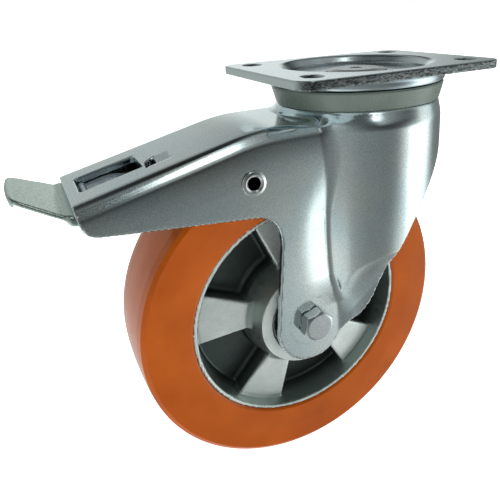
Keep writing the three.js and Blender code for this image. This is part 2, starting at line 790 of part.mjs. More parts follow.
// Die-cast centre: rim, boss, a thin web in the middle plane and five wedge spokes on it.
function wheelCentre() {
  const seat = BEARING_OUTER + PIN_CLEARANCE;
  const throughBore = 15;
  const seatDepth = HUB_HALF_LENGTH - BEARING_WIDTH - 1.3;
  const key = RIM_RADIUS + RIM_KEY;
  const keyHalf = RIM_KEY_HALF_WIDTH - GAP;
  const rim = wheelTurned([
    [RIM_INNER, -RIM_HALF_WIDTH],
    [RIM_RADIUS, -RIM_HALF_WIDTH],
    [RIM_RADIUS, -keyHalf - 1],
    [key, -keyHalf],
    [key, keyHalf],
    [RIM_RADIUS, keyHalf + 1],
    [RIM_RADIUS, RIM_HALF_WIDTH],
    [RIM_INNER, RIM_HALF_WIDTH],
    [RIM_ROOT, WEB_HALF_WIDTH + 1],
    [RIM_ROOT, -WEB_HALF_WIDTH - 1],
  ], 48);
  const boss = wheelTurned([
    [throughBore, -seatDepth],
    [seat, -seatDepth],
    [seat, -HUB_HALF_LENGTH],
    [HUB_END_RADIUS, -HUB_HALF_LENGTH],
    [HUB_ROOT_RADIUS, -HUB_HALF_LENGTH / 2],
    [HUB_ROOT_RADIUS, HUB_HALF_LENGTH / 2],
    [HUB_END_RADIUS, HUB_HALF_LENGTH],
    [seat, HUB_HALF_LENGTH],
    [seat, seatDepth],
    [throughBore, seatDepth],
  ]);
  const inner = HUB_ROOT_RADIUS - 2;
  const outer = RIM_ROOT + 1.5;
  const web = wheelTurned([
    [inner, -WEB_HALF_WIDTH],
    [outer, -WEB_HALF_WIDTH],
    [outer, WEB_HALF_WIDTH],
    [inner, WEB_HALF_WIDTH],
  ]);
  const spokeSide = polygon([
    [HUB_END_RADIUS - 2, -19],
    [outer, -15],
    [outer, 15],
    [HUB_END_RADIUS - 2, 19],
  ]);
  const spokePlan = polygon([
    [HUB_END_RADIUS - 4, -SPOKE_HALF_AT_HUB],
    [outer + 1, -SPOKE_HALF_AT_RIM],
    [outer + 1, SPOKE_HALF_AT_RIM],
    [HUB_END_RADIUS - 4, SPOKE_HALF_AT_HUB],
  ]);
  const wedge = plate(spokeSide, -20, 20).intersect(slab(spokePlan, -40, 40));
  const spokes = [];
  for (let i = 0; i < SPOKES; i += 1) {
    const angle = SPOKE_PHASE + (i * 360) / SPOKES;
    spokes.push(wedge.rotate([0, angle, 0]).translate([AXLE_X, 0, AXLE_Z]));
  }
  return join(rim, boss, web, ...spokes);
}

function bearingRing(inner, outer, side) {
  const near = side * (HUB_HALF_LENGTH - 1);
  const far = side * (HUB_HALF_LENGTH - 1 - BEARING_WIDTH);
  return wheelTurned([
    [inner, near],
    [outer, near],
    [outer, far],
    [inner, far],
  ], 24);
}

function bearingBalls(side) {
  const pitch = 16.75;
  const ballRadius = 3.1;
  const y = side * (HUB_HALF_LENGTH - 1 - BEARING_WIDTH / 2);
  let cage = wheelTurned([
    [pitch - 1.1, y - 1.6],
    [pitch + 1.1, y - 1.6],
    [pitch + 1.1, y + 1.6],
    [pitch - 1.1, y + 1.6],
  ], 24);
  const count = 7;
  for (let i = 0; i < count; i += 1) {
    const angle = (i * 2 * Math.PI) / count;
    const ball = new THREE.OctahedronGeometry(ballRadius, 1);
    ball.translate(AXLE_X + pitch * Math.cos(angle), y, AXLE_Z + pitch * Math.sin(angle));
    cage = cage.add(solid(ball));
  }
  return cage;
}

// A thin seal disc over each bearing's outer face.
function bearingSeal(side) {
  const near = side * (HUB_HALF_LENGTH - 1.4);
  const far = side * (HUB_HALF_LENGTH - 2.8);
  return wheelTurned([
    [14.3, near],
    [19.3, near],
    [19.3, far],
    [14.3, far],
  ], 24);
}

// ---------------------------------------------------------------- axle

function axleTube() {
  const half = LEG_INNER - GAP;
  return wheelTurned([
    [BOLT_RADIUS + PIN_CLEARANCE, -half],
    [BEARING_BORE - PIN_CLEARANCE, -half],
    [BEARING_BORE - PIN_CLEARANCE, half],
    [BOLT_RADIUS + PIN_CLEARANCE, half],
  ], SMALL);
}

function spacerRing(side) {
  const inner = side * (HUB_HALF_LENGTH - 1 + GAP);
  const outer = side * (LEG_INNER - GAP);
  return wheelTurned([
    [BEARING_BORE + 0.1, inner],
    [14.5, inner],
    [14.5, outer],
    [BEARING_BORE + 0.1, outer],
  ], SMALL);
}

function axleBolt() {
  const seat = -(WALL_Y + GAP);
  const head = slab(hexagon(BOLT_FLATS, 0), seat - BOLT_HEAD, seat)
    .rotate([0, -BOLT_TURN, 0])
    .translate([AXLE_X, 0, AXLE_Z]);
  const chamfer = wheelTurned([
    [0, seat + 1],
    [12.5, seat + 1],
    [12.5, seat - BOLT_HEAD + 1.7],
    [8.4, seat - BOLT_HEAD],
    [0, seat - BOLT_HEAD],
  ], SMALL);
  const shank = crossBar(AXLE_X, AXLE_Z, BOLT_RADIUS, seat - 1, BOLT_END);
  return head.intersect(chamfer).add(shank);
}

function axleWasher() {
  const face = WALL_Y + GAP;
  return wheelTurned([
    [BOLT_RADIUS + PIN_CLEARANCE, face],
    [BOLT_RADIUS * 2, face],
    [BOLT_RADIUS * 2, face + WASHER_THICKNESS],
    [BOLT_RADIUS + PIN_CLEARANCE, face + WASHER_THICKNESS],
  ], SMALL);
}

function axleNut() {
  const face = WALL_Y + WASHER_THICKNESS + 2 * GAP;
  const body = slab(hexagon(NUT_FLATS, BOLT_RADIUS + PIN_CLEARANCE), face, face + 8, 12)
    .translate([AXLE_X, 0, AXLE_Z]);
  const collar = wheelTurned([
    [BOLT_RADIUS + PIN_CLEARANCE, face + 7],
    [8.8, face + 7],
    [8.8, face + 10],
    [7.6, face + 11],
    [BOLT_RADIUS + PIN_CLEARANCE, face + 11],
  ], SMALL);
  return join(body, collar);
}

// ---------------------------------------------------------------- assembly

const castor = new THREE.Group();

castor.add(mesh('top_plate', topPlate(), zinc));
castor.add(mesh('kingpin', kingpin(), brightZinc));
castor.add(mesh('kingpin_sleeve', kingpinSleeve(), steel));
castor.add(mesh('lower_race_cup', lowerRaceCup(), zinc));
castor.add(mesh('swivel_lock_ring', swivelLockRing(), steel));
castor.add(mesh('kingpin_nut', kingpinNut(), brightZinc));
castor.add(mesh('swivel_seal', swivelSeal(), greyPlastic));

castor.add(mesh('upper_ball_ring', ballRing(40, 5.2, 10, -15.6, 2.4, 2), steel));
castor.add(mesh('lower_ball_ring', ballRing(23.6, 3.5, 8, -29.05, 1.8, 1.4), steel));

castor.add(mesh('fork_housing', forkHousing(), zinc));
castor.add(mesh('near_hollow_rivet', hollowRivet(-1), brightZinc));
castor.add(mesh('far_hollow_rivet', hollowRivet(1), brightZinc));
castor.add(mesh('axle_bolt', axleBolt(), brightZinc));
castor.add(mesh('axle_washer', axleWasher(), brightZinc));
castor.add(mesh('axle_nut', axleNut(), brightZinc));
castor.add(mesh('axle_tube', axleTube(), steel));
castor.add(mesh('near_spacer_ring', spacerRing(-1), steel));
castor.add(mesh('far_spacer_ring', spacerRing(1), steel));

castor.add(mesh('brake_lever', brakeLever(), zinc));
castor.add(mesh('brake_shoe', brakeShoe(), steel));
castor.add(mesh('shoe_screw', shoeScrew(), brightZinc));
castor.add(mesh('leaf_spring', leafSpring(), springSteel));
castor.add(mesh('spring_rivet', springRivet(), brightZinc));

castor.add(mesh('tyre', tyre(), polyurethane));
castor.add(mesh('wheel_centre', wheelCentre(), aluminium));
for (const [name, side] of [['near', -1], ['far', 1]]) {
  castor.add(mesh(`${name}_bearing_outer_ring`, bearingRing(20.4, BEARING_OUTER, side), steel));
  castor.add(mesh(`${name}_bearing_inner_ring`, bearingRing(BEARING_BORE, 13.2, side), steel));
  castor.add(mesh(`${name}_bearing_balls`, bearingBalls(side), steel));
  castor.add(mesh(`${name}_bearing_seal`, bearingSeal(side), cagePlastic));
}

export default castor;
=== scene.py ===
"""Swivel castor with a pedal brake: pressed zinc-plated fork, orange tyre, cast wheel centre.

The pressed and cast pieces are written as distance formulas and meshed by mesh_field(); the
turned pieces are rounded profiles spun by lathe(). Formulas are in millimetres in the frame's
own axes, and the meshes are in metres.
"""

import json
import math

import bpy
import numpy as np
from mathutils import Matrix, Vector

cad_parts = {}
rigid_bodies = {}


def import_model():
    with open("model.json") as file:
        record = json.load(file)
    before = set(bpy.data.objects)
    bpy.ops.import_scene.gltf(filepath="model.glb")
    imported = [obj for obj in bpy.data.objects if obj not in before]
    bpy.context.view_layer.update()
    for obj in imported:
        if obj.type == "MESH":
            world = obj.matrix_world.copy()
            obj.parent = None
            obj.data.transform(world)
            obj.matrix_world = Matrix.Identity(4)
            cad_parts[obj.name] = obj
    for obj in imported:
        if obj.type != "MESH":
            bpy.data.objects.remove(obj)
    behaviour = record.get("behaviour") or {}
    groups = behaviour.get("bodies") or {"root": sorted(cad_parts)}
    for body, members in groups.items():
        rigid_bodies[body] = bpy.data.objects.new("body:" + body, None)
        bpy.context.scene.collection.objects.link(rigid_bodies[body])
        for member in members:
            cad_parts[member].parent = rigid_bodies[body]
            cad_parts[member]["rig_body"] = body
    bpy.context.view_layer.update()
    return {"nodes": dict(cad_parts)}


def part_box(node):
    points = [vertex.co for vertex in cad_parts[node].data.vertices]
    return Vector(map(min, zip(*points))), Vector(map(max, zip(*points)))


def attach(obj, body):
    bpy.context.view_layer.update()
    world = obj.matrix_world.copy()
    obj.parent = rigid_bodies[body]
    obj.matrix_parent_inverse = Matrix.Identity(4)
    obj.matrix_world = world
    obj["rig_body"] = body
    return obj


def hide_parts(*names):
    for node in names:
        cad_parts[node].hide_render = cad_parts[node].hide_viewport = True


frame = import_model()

MM = 0.001


def corners(node):
    """Lowest and highest corner of a CAD node, in millimetres."""
    low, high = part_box(node)
    return np.array(low) / MM, np.array(high) / MM


# ------------------------------------------------------------------ places and sizes, mm

tyre_low, tyre_high = corners("tyre")
plate_low, plate_high = corners("top_plate")
fork_low, fork_high = corners("fork_housing")

AXLE_X = (tyre_low[0] + tyre_high[0]) / 2
AXLE_Z = (tyre_low[2] + tyre_high[2]) / 2
WHEEL_RADIUS = (tyre_high[0] - tyre_low[0]) / 2
TREAD_HALF = (tyre_high[1] - tyre_low[1]) / 2
FLOOR_Z = tyre_low[2]

PLATE_HALF_X = plate_high[0]
PLATE_HALF_Y = plate_high[1]
PLATE_THICKNESS = 5.0
PLATE_CORNER = 10.0
SLOT_X = 52.5
SLOT_Y = 38.75
SLOT_RADIUS = 5.5
SLOT_STRAIGHT = 1.25
BOWL_BOTTOM = plate_low[2]

CROWN_TOP = -21.2
SHEET = 4.0
CROWN_RADIUS = 50.3
CROWN_BORE = 19.5
DRUM_X = -5.2
DRUM_RADIUS = 54.3
DRUM_TAPER_TOP = -90.0
DRUM_FOOT = -160.0
DRUM_FOOT_RADIUS = 52.0
DRUM_REAR = 0.87  # the drum is this much shorter behind its middle, where it meets the walls
FLAT_BELOW = -150.0  # the drum runs out flat into the side walls towards this height
FLAT_SLOPE = 0.44
SHOULDER_TOP = -23.4
WALL_Y = 36.0
FLUTE_SLOPE = 0.19  # an upright flute in each wall, beside the drum
BOSS_X = -57.6
BOSS_Z = -148.5
BOSS_RADIUS = 22.9
PAD_RADIUS = 16.0

ARM_MOUTH_X = fork_low[0]
ARM_MOUTH_TOP = -47.1
NECK_START_X = -82.0
NECK_TOP = -25.2
ARM_FOLD = 8.0
ARM_SLOPE = (NECK_TOP - ARM_MOUTH_TOP) / (NECK_START_X - ARM_MOUTH_X)
ARM_COS = 1 / math.hypot(1, ARM_SLOPE)

PIVOT_X = -88.0
PIVOT_Z = -51.0
BRAKE_ANGLE = 7.5
LEVER_SHEET = 2.6
SPRING_HALF = 11.0
LEVER_HALF = 29.7

BOLT_FLATS = 18.0
BOLT_TURN = math.radians(16)
RIM_RADIUS = 70.0
HUB_HALF = 30.0
SPOKES = 5
SPOKE_START = 26.0

EDGE = 0.7  # rounding of a sheared edge


# ------------------------------------------------------------------ meshes

def gradient(field, points, step):
    """Slope of a field at each point, from six samples."""
    x, y, z = points.T
    return np.stack([
        field(x + step, y, z) - field(x - step, y, z),
        field(x, y + step, z) - field(x, y - step, z),
        field(x, y, z + step) - field(x, y, z - step),
    ], axis=1) / (2 * step)


def cell_corners(values, cells):
    """Field values at the eight corners of each cell."""
    i, j, k = cells.T
    return {
        (a, b, c): values[i + a, j + b, k + c]
        for a in (0, 1) for b in (0, 1) for c in (0, 1)
    }


def crossing_mean(at):
    """Mean of the places where the surface crosses a cell's twelve edges, in cell units."""
    total = 0
    count = 0
    for start, v0 in at.items():
        for axis in range(3):
            if start[axis]:
                continue
            end = tuple(1 if n == axis else s for n, s in enumerate(start))
            v1 = at[end]
            crossed = (v0 < 0) != (v1 < 0)
            share = np.where(crossed, v0 / np.where(crossed, v0 - v1, 1), 0)
            place = np.array(start, float)[None, :] * crossed[:, None]
            place[:, axis] += share
            total = total + place
            count = count + crossed
    return total / count[:, None]


def grid_faces(inside, number):
    """One quad for each grid edge that the surface crosses, facing out."""
    faces = []
    for axis in range(3):
        first = np.moveaxis(inside, axis, 0)
        numbered = np.moveaxis(number, axis, 0)
        a = first[:-1, 1:-1, 1:-1]
        b = first[1:, 1:-1, 1:-1]
        i, j, k = np.nonzero(a != b)
        quad = np.stack([
            numbered[i, j, k],
            numbered[i, j + 1, k],
            numbered[i, j + 1, k + 1],
            numbered[i, j, k + 1],
        ], axis=1)
        turn = a[i, j, k] ^ (axis == 1)
        faces.append(np.where(turn[:, None], quad, quad[:, ::-1]))
    return np.concatenate(faces)


def no_lift(x):
    return 0 * x


def grid_line(low, high, cell):
    """Grid places past both ends, set off so that none falls on a face at a round figure."""
    first = (math.floor(low / cell) - 1.63) * cell
    return np.arange(first, high + 2.5 * cell, cell, dtype=np.float32)


def mesh_field(field, low, high, cell, passes=3, lift=no_lift):
    """Points (mm), normals and quads of the surface where the field is zero.

    lift(x) shears the grid upwards, so that its rows can follow a sloping edge."""
    axes = [grid_line(a, b, cell) for a, b in zip(low, high)]
    lifts = lift(axes[0])
    axes[2] = grid_line(low[2] - lifts.max(), high[2] - lifts.min(), cell)
    x, y, z = np.ix_(*axes)
    values = np.broadcast_to(field(x, y, z + lift(x)), [len(a) for a in axes])
    inside = values < 0
    total = sum(
        inside[a:len(axes[0]) - 1 + a, b:len(axes[1]) - 1 + b, c:len(axes[2]) - 1 + c].astype(np.uint8)
        for a in (0, 1) for b in (0, 1) for c in (0, 1)
    )
    active = (total > 0) & (total < 8)
    cells = np.argwhere(active)
    number = np.full(active.shape, -1, np.int32)
    number[active] = np.arange(len(cells))
    start = np.array([a[0] for a in axes])
    points = start + cell * (cells + crossing_mean(cell_corners(values, cells)))
    points = points.astype(float)
    points[:, 2] += lift(points[:, 0])
    for _ in range(passes):
        slope = gradient(field, points, 0.1)
        size = np.maximum((slope ** 2).sum(1), 0.2)
        step = field(*points.T) / size
        step = np.clip(step, -0.4 * cell, 0.4 * cell)
        points -= slope * step[:, None]
    normals = gradient(field, points, 0.2)
    normals /= np.maximum(np.linalg.norm(normals, axis=1), 1e-6)[:, None]
    return points, normals, grid_faces(inside, number).tolist()


def rounded(outline, radius, steps=4):
    """A closed outline with rounded corners, as points and outward normals.

    A corner is (u, v) or (u, v, own radius)."""
    count = len(outline)
    flat = [np.array(p[:2], float) for p in outline]
    area = sum(a[0] * b[1] - b[0] * a[1] for a, b in zip(flat, flat[1:] + flat[:1]))
    sense = 1 if area > 0 else -1
    made = []
    for i, here in enumerate(flat):
        before = here - flat[i - 1]
        after = flat[(i + 1) % count] - here
        room = 0.45 * min(np.linalg.norm(before), np.linalg.norm(after))
        before /= np.linalg.norm(before)
        after /= np.linalg.norm(after)
        turn = math.atan2(before[0] * after[1] - before[1] * after[0], before @ after)
        size = outline[i][2] if len(outline[i]) > 2 else radius
        reach = min(size * abs(math.tan(turn / 2)), room)
        size = reach / max(abs(math.tan(turn / 2)), 1e-6)
        normal = np.array([before[1], -before[0]]) * sense
        bend = np.sign(turn) * sense
        centre = here - before * reach - normal * size * bend
        for n in range(steps + 1):
            angle = turn * n / steps
            c, s = math.cos(angle), math.sin(angle)
            way = np.array([c * normal[0] - s * normal[1], s * normal[0] + c * normal[1]])
            made.append((centre + way * size * bend, way))
    return made


def lathe(outline, segments=96, radius=0.3, axis="z", centre=(0, 0), steps=4):
    """A closed profile of (distance from the axis, height) spun about an upright or wheel axis."""
    profile = rounded(outline, radius, steps)
    angles = np.arange(segments) * 2 * math.pi / segments
    c, s = np.cos(angles), np.sin(angles)
    flat = np.zeros(segments)
    points, normals = [], []
    for (r, h), (nr, nh) in profile:
        r = max(r, 0.0)
        if axis == "z":
            points.append(np.stack([centre[0] + r * c, centre[1] + r * s, flat + h], 1))
            normals.append(np.stack([nr * c, nr * s, flat + nh], 1))
        else:
            points.append(np.stack([centre[0] + r * c, flat + h, centre[1] + r * s], 1))
            normals.append(np.stack([nr * c, flat + nh, nr * s], 1))
    points = np.concatenate(points)
    normals = np.concatenate(normals)
    rows = len(profile)
    on_axis = [r < 1e-4 for (r, _), _ in profile]
    step = np.arange(segments)
    after = (step + 1) % segments
    faces = []
    for row in range(rows):
        other = (row + 1) % rows
        if on_axis[row] and on_axis[other]:
            continue
        a, b = row * segments, other * segments
        for n, m in zip(step, after):
            face = [a + n, a + m, b + m, b + n]
            if on_axis[row]:
                face = [a, b + m, b + n]
            if on_axis[other]:
                face = [a + n, a + m, b]
            faces.append(face)
    return outward(points, normals, faces)


def outward(points, normals, faces):
    """Turns the faces over if they don't agree with the normals, and drops unused points."""
    p = points[[f[:3] for f in faces]]
    facing = np.cross(p[:, 1] - p[:, 0], p[:, 2] - p[:, 0])
    agree = (facing * normals[[f[0] for f in faces]]).sum()
    if agree < 0:
        faces = [f[::-1] for f in faces]
    used = np.unique(np.concatenate(faces))
    renumber = np.full(len(points), -1)
    renumber[used] = np.arange(len(used))
    return points[used], normals[used], [renumber[f].tolist() for f in faces]


def joined(*parts):
    """Several (points, normals, faces) as one."""
    points, normals, faces = [], [], []
    offset = 0
    for p, n, f in parts:
        points.append(p)
        normals.append(n)
        faces += [[v + offset for v in face] for face in f]
        offset += len(p)
    return np.concatenate(points), np.concatenate(normals), faces


def ball(centre, radius, segments=32):
    """A fine sphere."""
    rings = segments // 2
    profile = [
        (radius * math.sin(math.pi * i / rings), centre[2] - radius * math.cos(math.pi * i / rings))
        for i in range(rings + 1)
    ]
    points, normals, faces = lathe(profile, segments, 0, "z", centre[:2], 1)
    normals = points - np.array(centre)
    normals /= np.linalg.norm(normals, axis=1)[:, None]
    return points, normals, faces


def add_piece(name, shape, material, *nodes):
    """A new piece that stands for CAD nodes: it takes the body of the first of them and hides them all."""
    nodes = nodes or (name,)
    points, normals, faces = shape
    mesh = bpy.data.meshes.new(name + "_surface")
    mesh.from_pydata((points * MM).tolist(), [], faces)
    mesh.validate()
    mesh.shade_smooth()
    mesh.normals_split_custom_set_from_vertices(normals.tolist())
    mesh.materials.append(material)
    piece = bpy.data.objects.new(name + "_piece", mesh)
    bpy.context.scene.collection.objects.link(piece)
    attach(piece, frame["nodes"][nodes[0]]["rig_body"])
    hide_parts(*nodes)
    return piece


# ------------------------------------------------------------------ distance formulas

def both(a, b, radius=0.0):
    """Where two fields overlap, with the shared edge rounded."""
    if np.isscalar(radius) and radius == 0:
        return np.maximum(a, b)
    u = np.maximum(a + radius, 0)
    v = np.maximum(b + radius, 0)
    return np.minimum(np.maximum(a, b), -radius) + np.hypot(u, v)


def either(a, b, radius=0.0):
    """Two fields joined, with a fillet where they meet."""
    return -both(-a, -b, radius)


def without(a, b, radius=0.0):
    return both(a, -b, radius)


def soft_min(a, b, width):
    share = np.maximum(width - np.abs(a - b), 0) / width
    return np.minimum(a, b) - share * share * width / 4


def soft_positive(a, width):
    """The value where it is well above zero, and zero where it is well below."""
    return (a + np.sqrt(a * a + width * width)) / 2


def outline_field(u, v, points):
    """Signed distance in the plane to a closed outline."""
    nearest = None
    inside = np.zeros(np.broadcast(u, v).shape, bool)
    for (u0, v0), (u1, v1) in zip(points, points[1:] + points[:1]):
        eu, ev = u1 - u0, v1 - v0
        along = ((u - u0) * eu + (v - v0) * ev) / (eu * eu + ev * ev)
        along = np.clip(along, 0, 1)
        apart = (u - u0 - along * eu) ** 2 + (v - v0 - along * ev) ** 2
        nearest = apart if nearest is None else np.minimum(nearest, apart)
        if v0 != v1:
            inside ^= ((v0 <= v) != (v1 <= v)) & (u < u0 + (v - v0) * eu / ev)
    return np.sqrt(nearest) * np.where(inside, -1, 1)


def path_distance(u, v, points):
    """Distance in the plane to an open path."""
    nearest = None
    for (u0, v0), (u1, v1) in zip(points, points[1:]):
        eu, ev = u1 - u0, v1 - v0
        along = ((u - u0) * eu + (v - v0) * ev) / (eu * eu + ev * ev)
        along = np.clip(along, 0, 1)
        apart = (u - u0 - along * eu) ** 2 + (v - v0 - along * ev) ** 2
        nearest = apart if nearest is None else np.minimum(nearest, apart)
    return np.sqrt(nearest)


def rectangle_field(u, v, half_u, half_v, corner):
    a = np.abs(u) - half_u + corner
    b = np.abs(v) - half_v + corner
    return np.minimum(np.maximum(a, b), 0) + np.hypot(np.maximum(a, 0), np.maximum(b, 0)) - corner


def hexagon_field(u, v, across, edge):
    """A hexagon with a corner on the u axis."""
    field = None
    for degrees in (30, 90, 150):
        a = math.radians(degrees)
        side = np.abs(u * math.cos(a) + v * math.sin(a)) - across / 2
        field = side if field is None else both(field, side, edge)
    return field


def slab_field(w, low, high):
    return np.abs(w - (low + high) / 2) - (high - low) / 2


def arc(cx, cz, radius, start, end, count=24):
    """Points on an arc, in degrees."""
    angles = np.radians(np.linspace(start, end, count))
    return [(cx + radius * math.cos(a), cz + radius * math.sin(a)) for a in angles]


def quadratic(p0, p1, p2, count=10):
    """Points on a quadratic curve after its first point."""
    made = []
    for n in range(1, count + 1):
        t = n / count
        made.append(tuple(
            (1 - t) ** 2 * a + 2 * t * (1 - t) * b + t * t * c for a, b, c in zip(p0, p1, p2)
        ))
    return made


def smooth_path(points, count=6):
    """A Catmull-Rom curve through the points."""
    made = []
    padded = [points[0]] + list(points) + [points[-1]]
    for a, b, c, d in zip(padded, padded[1:], padded[2:], padded[3:]):
        for n in range(count):
            t = n / count
            made.append(tuple(
                0.5 * (2 * q + (r - p) * t + (2 * p - 5 * q + 4 * r - s) * t * t
                       + (3 * q - p - 3 * r + s) * t ** 3)
                for p, q, r, s in zip(a, b, c, d)
            ))
    return made + [tuple(points[-1])]


# ------------------------------------------------------------------ fork housing

def side_outline():
    """Side view of the housing: arm, crown, arch, leg and its round end."""
    front = smooth_path([(38, -49.5), (28.5, -59.5), (12.5, -78), (-3.3, -100.5), (-11.4, -112.5),
                         (-15.9, -124), (-21.0, -137), (-27.5, -147.6), (-37.9, -158.1), (-45.2, -167)])
    return (
        [(ARM_MOUTH_X, ARM_MOUTH_TOP - 1), (ARM_MOUTH_X, 0), (70, 0), (70, -44), (60, -45), (48, -45.5)]
        + front
        + arc(BOSS_X, BOSS_Z, BOSS_RADIUS, -62, -181, 40)
        + [(-74.2, -91)]
        + quadratic((-74.2, -91), (-73.4, -71.8), (-90, -70.4))
        + [(-165, -62.1)]
        + quadratic((-165, -62.1), (-170.6, -61.3), (-172.2, -56.7))
    )


def roof_height(x):
    """Height of the arm's outer roof."""
    rising = NECK_TOP + ARM_SLOPE * (x - NECK_START_X)
    return soft_min(rising, NECK_TOP, 3.0)


def channel_field(x, y, z, half, fold, drop):
    """The arm as a solid bar with folded top edges, open downwards."""
    w = (z - roof_height(x) + drop) * ARM_COS + fold
    lean = 0.0055 * np.clip(w + 16, 0, 20) ** 2
    u = np.abs(y) - half + fold + lean
    bar = np.minimum(np.maximum(u, w), 0) + np.hypot(np.maximum(u, 0), np.maximum(w, 0)) - fold
    return np.maximum(bar, x + 30)


def crown_field(x, y, z, inset):
    """The round crown under the plate; inset moves the skin inwards."""
    return both(np.hypot(x, y) - CROWN_RADIUS + inset, z - CROWN_TOP + inset, 1.2)


def drum_field(x, y, z, inset):
    """The drum of the two legs, which runs out flat towards the axle; inset moves the skin inwards."""
    taper = soft_positive((DRUM_TAPER_TOP - z) / (DRUM_TAPER_TOP - DRUM_FOOT), 0.2)
    radius = DRUM_RADIUS + (DRUM_FOOT_RADIUS - DRUM_RADIUS) * taper - inset
    across = x - DRUM_X
    across = np.where(across < 0, across / DRUM_REAR, across)
    legs = both(np.hypot(across, y) - radius, z - SHOULDER_TOP + inset, 8.0 - inset / 2)
    flat = WALL_Y + FLAT_SLOPE * soft_positive(z - FLAT_BELOW, 8.0) + 0.02 * np.maximum(z + 122, 0) ** 2
    return both(legs, np.abs(y) - flat + inset, 9.0)


def wall_flute(x, z):
    """Depth of the shallow flute that runs down the wall beside the drum, widest at mid-height."""
    start = -60.5 + 0.0056 * (z + 101) ** 2
    high = np.clip((z + 137) / 18, 0, 1) * np.clip((-46 - z) / 30, 0, 1)
    return FLUTE_SLOPE * soft_positive(x - start, 4.0) * high


def bulk_field(x, y, z, inset):
    """Arm, crown and drum together; inset moves the skin inwards."""
    flute = wall_flute(x, z) * (0.4 if inset else 1.0)
    bar = channel_field(x, y, z, WALL_Y - inset - flute, ARM_FOLD - inset, inset)
    upper = either(bar, crown_field(x, y, z, inset), 4.0)
    fillet = 2.2 + 2.8 * np.clip((z + 85) / 40, 0, 1)
    return either(upper, drum_field(x, y, z, inset), fillet)


def fork_field(outline):
    def field(x, y, z):
        skin = both(bulk_field(x, y, z, 0), outline_field(x, z, outline), EDGE)
        pad = both(np.hypot(x - AXLE_X, z - AXLE_Z) - PAD_RADIUS,
                   slab_field(np.abs(y), WALL_Y - SHEET, WALL_Y - 0.6), 0.8)
        shell = without(skin, bulk_field(x, y, z, SHEET), EDGE)
        shell = either(shell, pad, 0.8)
        shell = without(shell, both(np.hypot(x, y) - CROWN_BORE, slab_field(z, -45, 0)), EDGE)
        slot = rectangle_field(x + 152.5, y, 15.5, 12.5, 2.0)
        shell = without(shell, both(slot, slab_field(z, -58, 0)), 0.5)
        window = both(tab_window_field(x, y), slab_field(z, -50, 0))
        shell = without(shell, window, 0.4)
        rivet = np.hypot(x - PIVOT_X, z - PIVOT_Z) - 5.7
        shell = without(shell, rivet, 0.4)
        bolt = np.hypot(x - AXLE_X, z - AXLE_Z) - 6.4
        shell = without(shell, bolt, 0.5)
        return either(shell, tab_field(x, y, z), 0.4)
    return field


TAB_X0, TAB_X1 = -136.0, -122.5
TAB_Y0, TAB_Y1 = -16.0, -4.0


def tab_window_field(x, y):
    """A half-moon window beside the slot."""
    outline = (
        [(TAB_X0, TAB_Y0), (TAB_X1, TAB_Y0), (TAB_X1, TAB_Y1), (TAB_X0 + 6, TAB_Y1)]
        + quadratic((TAB_X0 + 6, TAB_Y1), (TAB_X0, TAB_Y1), (TAB_X0, TAB_Y0))[:-1]
    )
    return outline_field(x, y, outline)


def tab_field(x, y, z):
    """The tab that is pressed down from the window's far edge."""
    top = NECK_TOP + ARM_SLOPE * (x - NECK_START_X) - 0.4 - 0.15 * (TAB_Y1 - y)
    height = slab_field(z - top, -2.0, 0.0)
    length = slab_field(x, TAB_X0 + 6, TAB_X1 + 0.5)
    width = slab_field(y, TAB_Y0 + 0.5, TAB_Y1 + 0.5)
    return both(both(height, length, 0.4), width, 0.4)


def fork_housing(material):
    field = fork_field(side_outline())
    shape = mesh_field(field, fork_low, fork_high, 1.15, lift=roof_height)
    return add_piece("fork_housing", shape, material)


def field_piece(name, field, cell, material):
    """A piece meshed from its distance formula, inside the box of the CAD node that it replaces."""
    low, high = corners(name)
    return add_piece(name, mesh_field(field, low, high, cell), material)


# ------------------------------------------------------------------ top plate and swivel head

def plate_field(x, y, z):
    sheet = both(rectangle_field(x, y, PLATE_HALF_X, PLATE_HALF_Y, PLATE_CORNER),
                 slab_field(z, -PLATE_THICKNESS, 0), 0.6)
    rho = np.hypot(x, y)
    dish = both(rho - 53.5, slab_field(z, BOWL_BOTTOM, -1), 2.0)
    body = either(sheet, dish, 1.2)
    hollow = outline_field(rho, z, [(-5, -5), (41, -5), (43.2, -4), (45.4, -1.2), (48.5, 1.5),
                                    (48.5, 9), (-5, 9)])
    body = without(body, hollow, 1.0)
    body = without(body, rho - 8.4, 0.4)
    slots = rectangle_field(np.abs(x) - SLOT_X, np.abs(y) - SLOT_Y, SLOT_RADIUS,
                            SLOT_RADIUS + SLOT_STRAIGHT, SLOT_RADIUS)
    return without(body, slots, 0.5)


def top_plate(material):
    shape = mesh_field(plate_field, plate_low, plate_high, 0.9)
    return add_piece("top_plate", shape, material)


def kingpin(material):
    shape = lathe([(0, -49), (7, -49), (8, -48), (8, -4.7), (19, -4.7, 0.3), (19, -4.0, 0.3),
                   (13.5, -3.2, 1.5), (4, -3.2), (3, -3.7, 0.3), (0, -3.7)], 128)
    return add_piece("kingpin", shape, material)


def kingpin_sleeve(material):
    shape = lathe([(8.4, -32.6), (13, -32.6), (13, -10.3), (8.4, -10.3)], 64)
    return add_piece("kingpin_sleeve", shape, material)


def lower_race_cup(material):
    shape = lathe([(8.4, -35.9), (30, -35.9, 1.5), (32, -33.9, 1.5), (32, -27.2), (29.4, -27.2),
                   (29.4, -31.9, 1.2), (28.4, -32.9, 1), (8.4, -32.9)], 128)
    return add_piece("lower_race_cup", shape, material)


def lock_ring_field(x, y, z):
    rho = np.hypot(x, y)
    ring = both(both(rho - 41, 8.4 - rho, 0.3), slab_field(z, -39.7, -36.2), 0.4)
    pitch = 2 * math.pi / 16
    angle = np.arctan2(y, x)
    angle = angle - pitch * np.round(angle / pitch)
    notch = rectangle_field(rho * np.cos(angle) - 40, rho * np.sin(angle), 6.8, 4.4, 1.0)
    return without(ring, notch, 0.4)


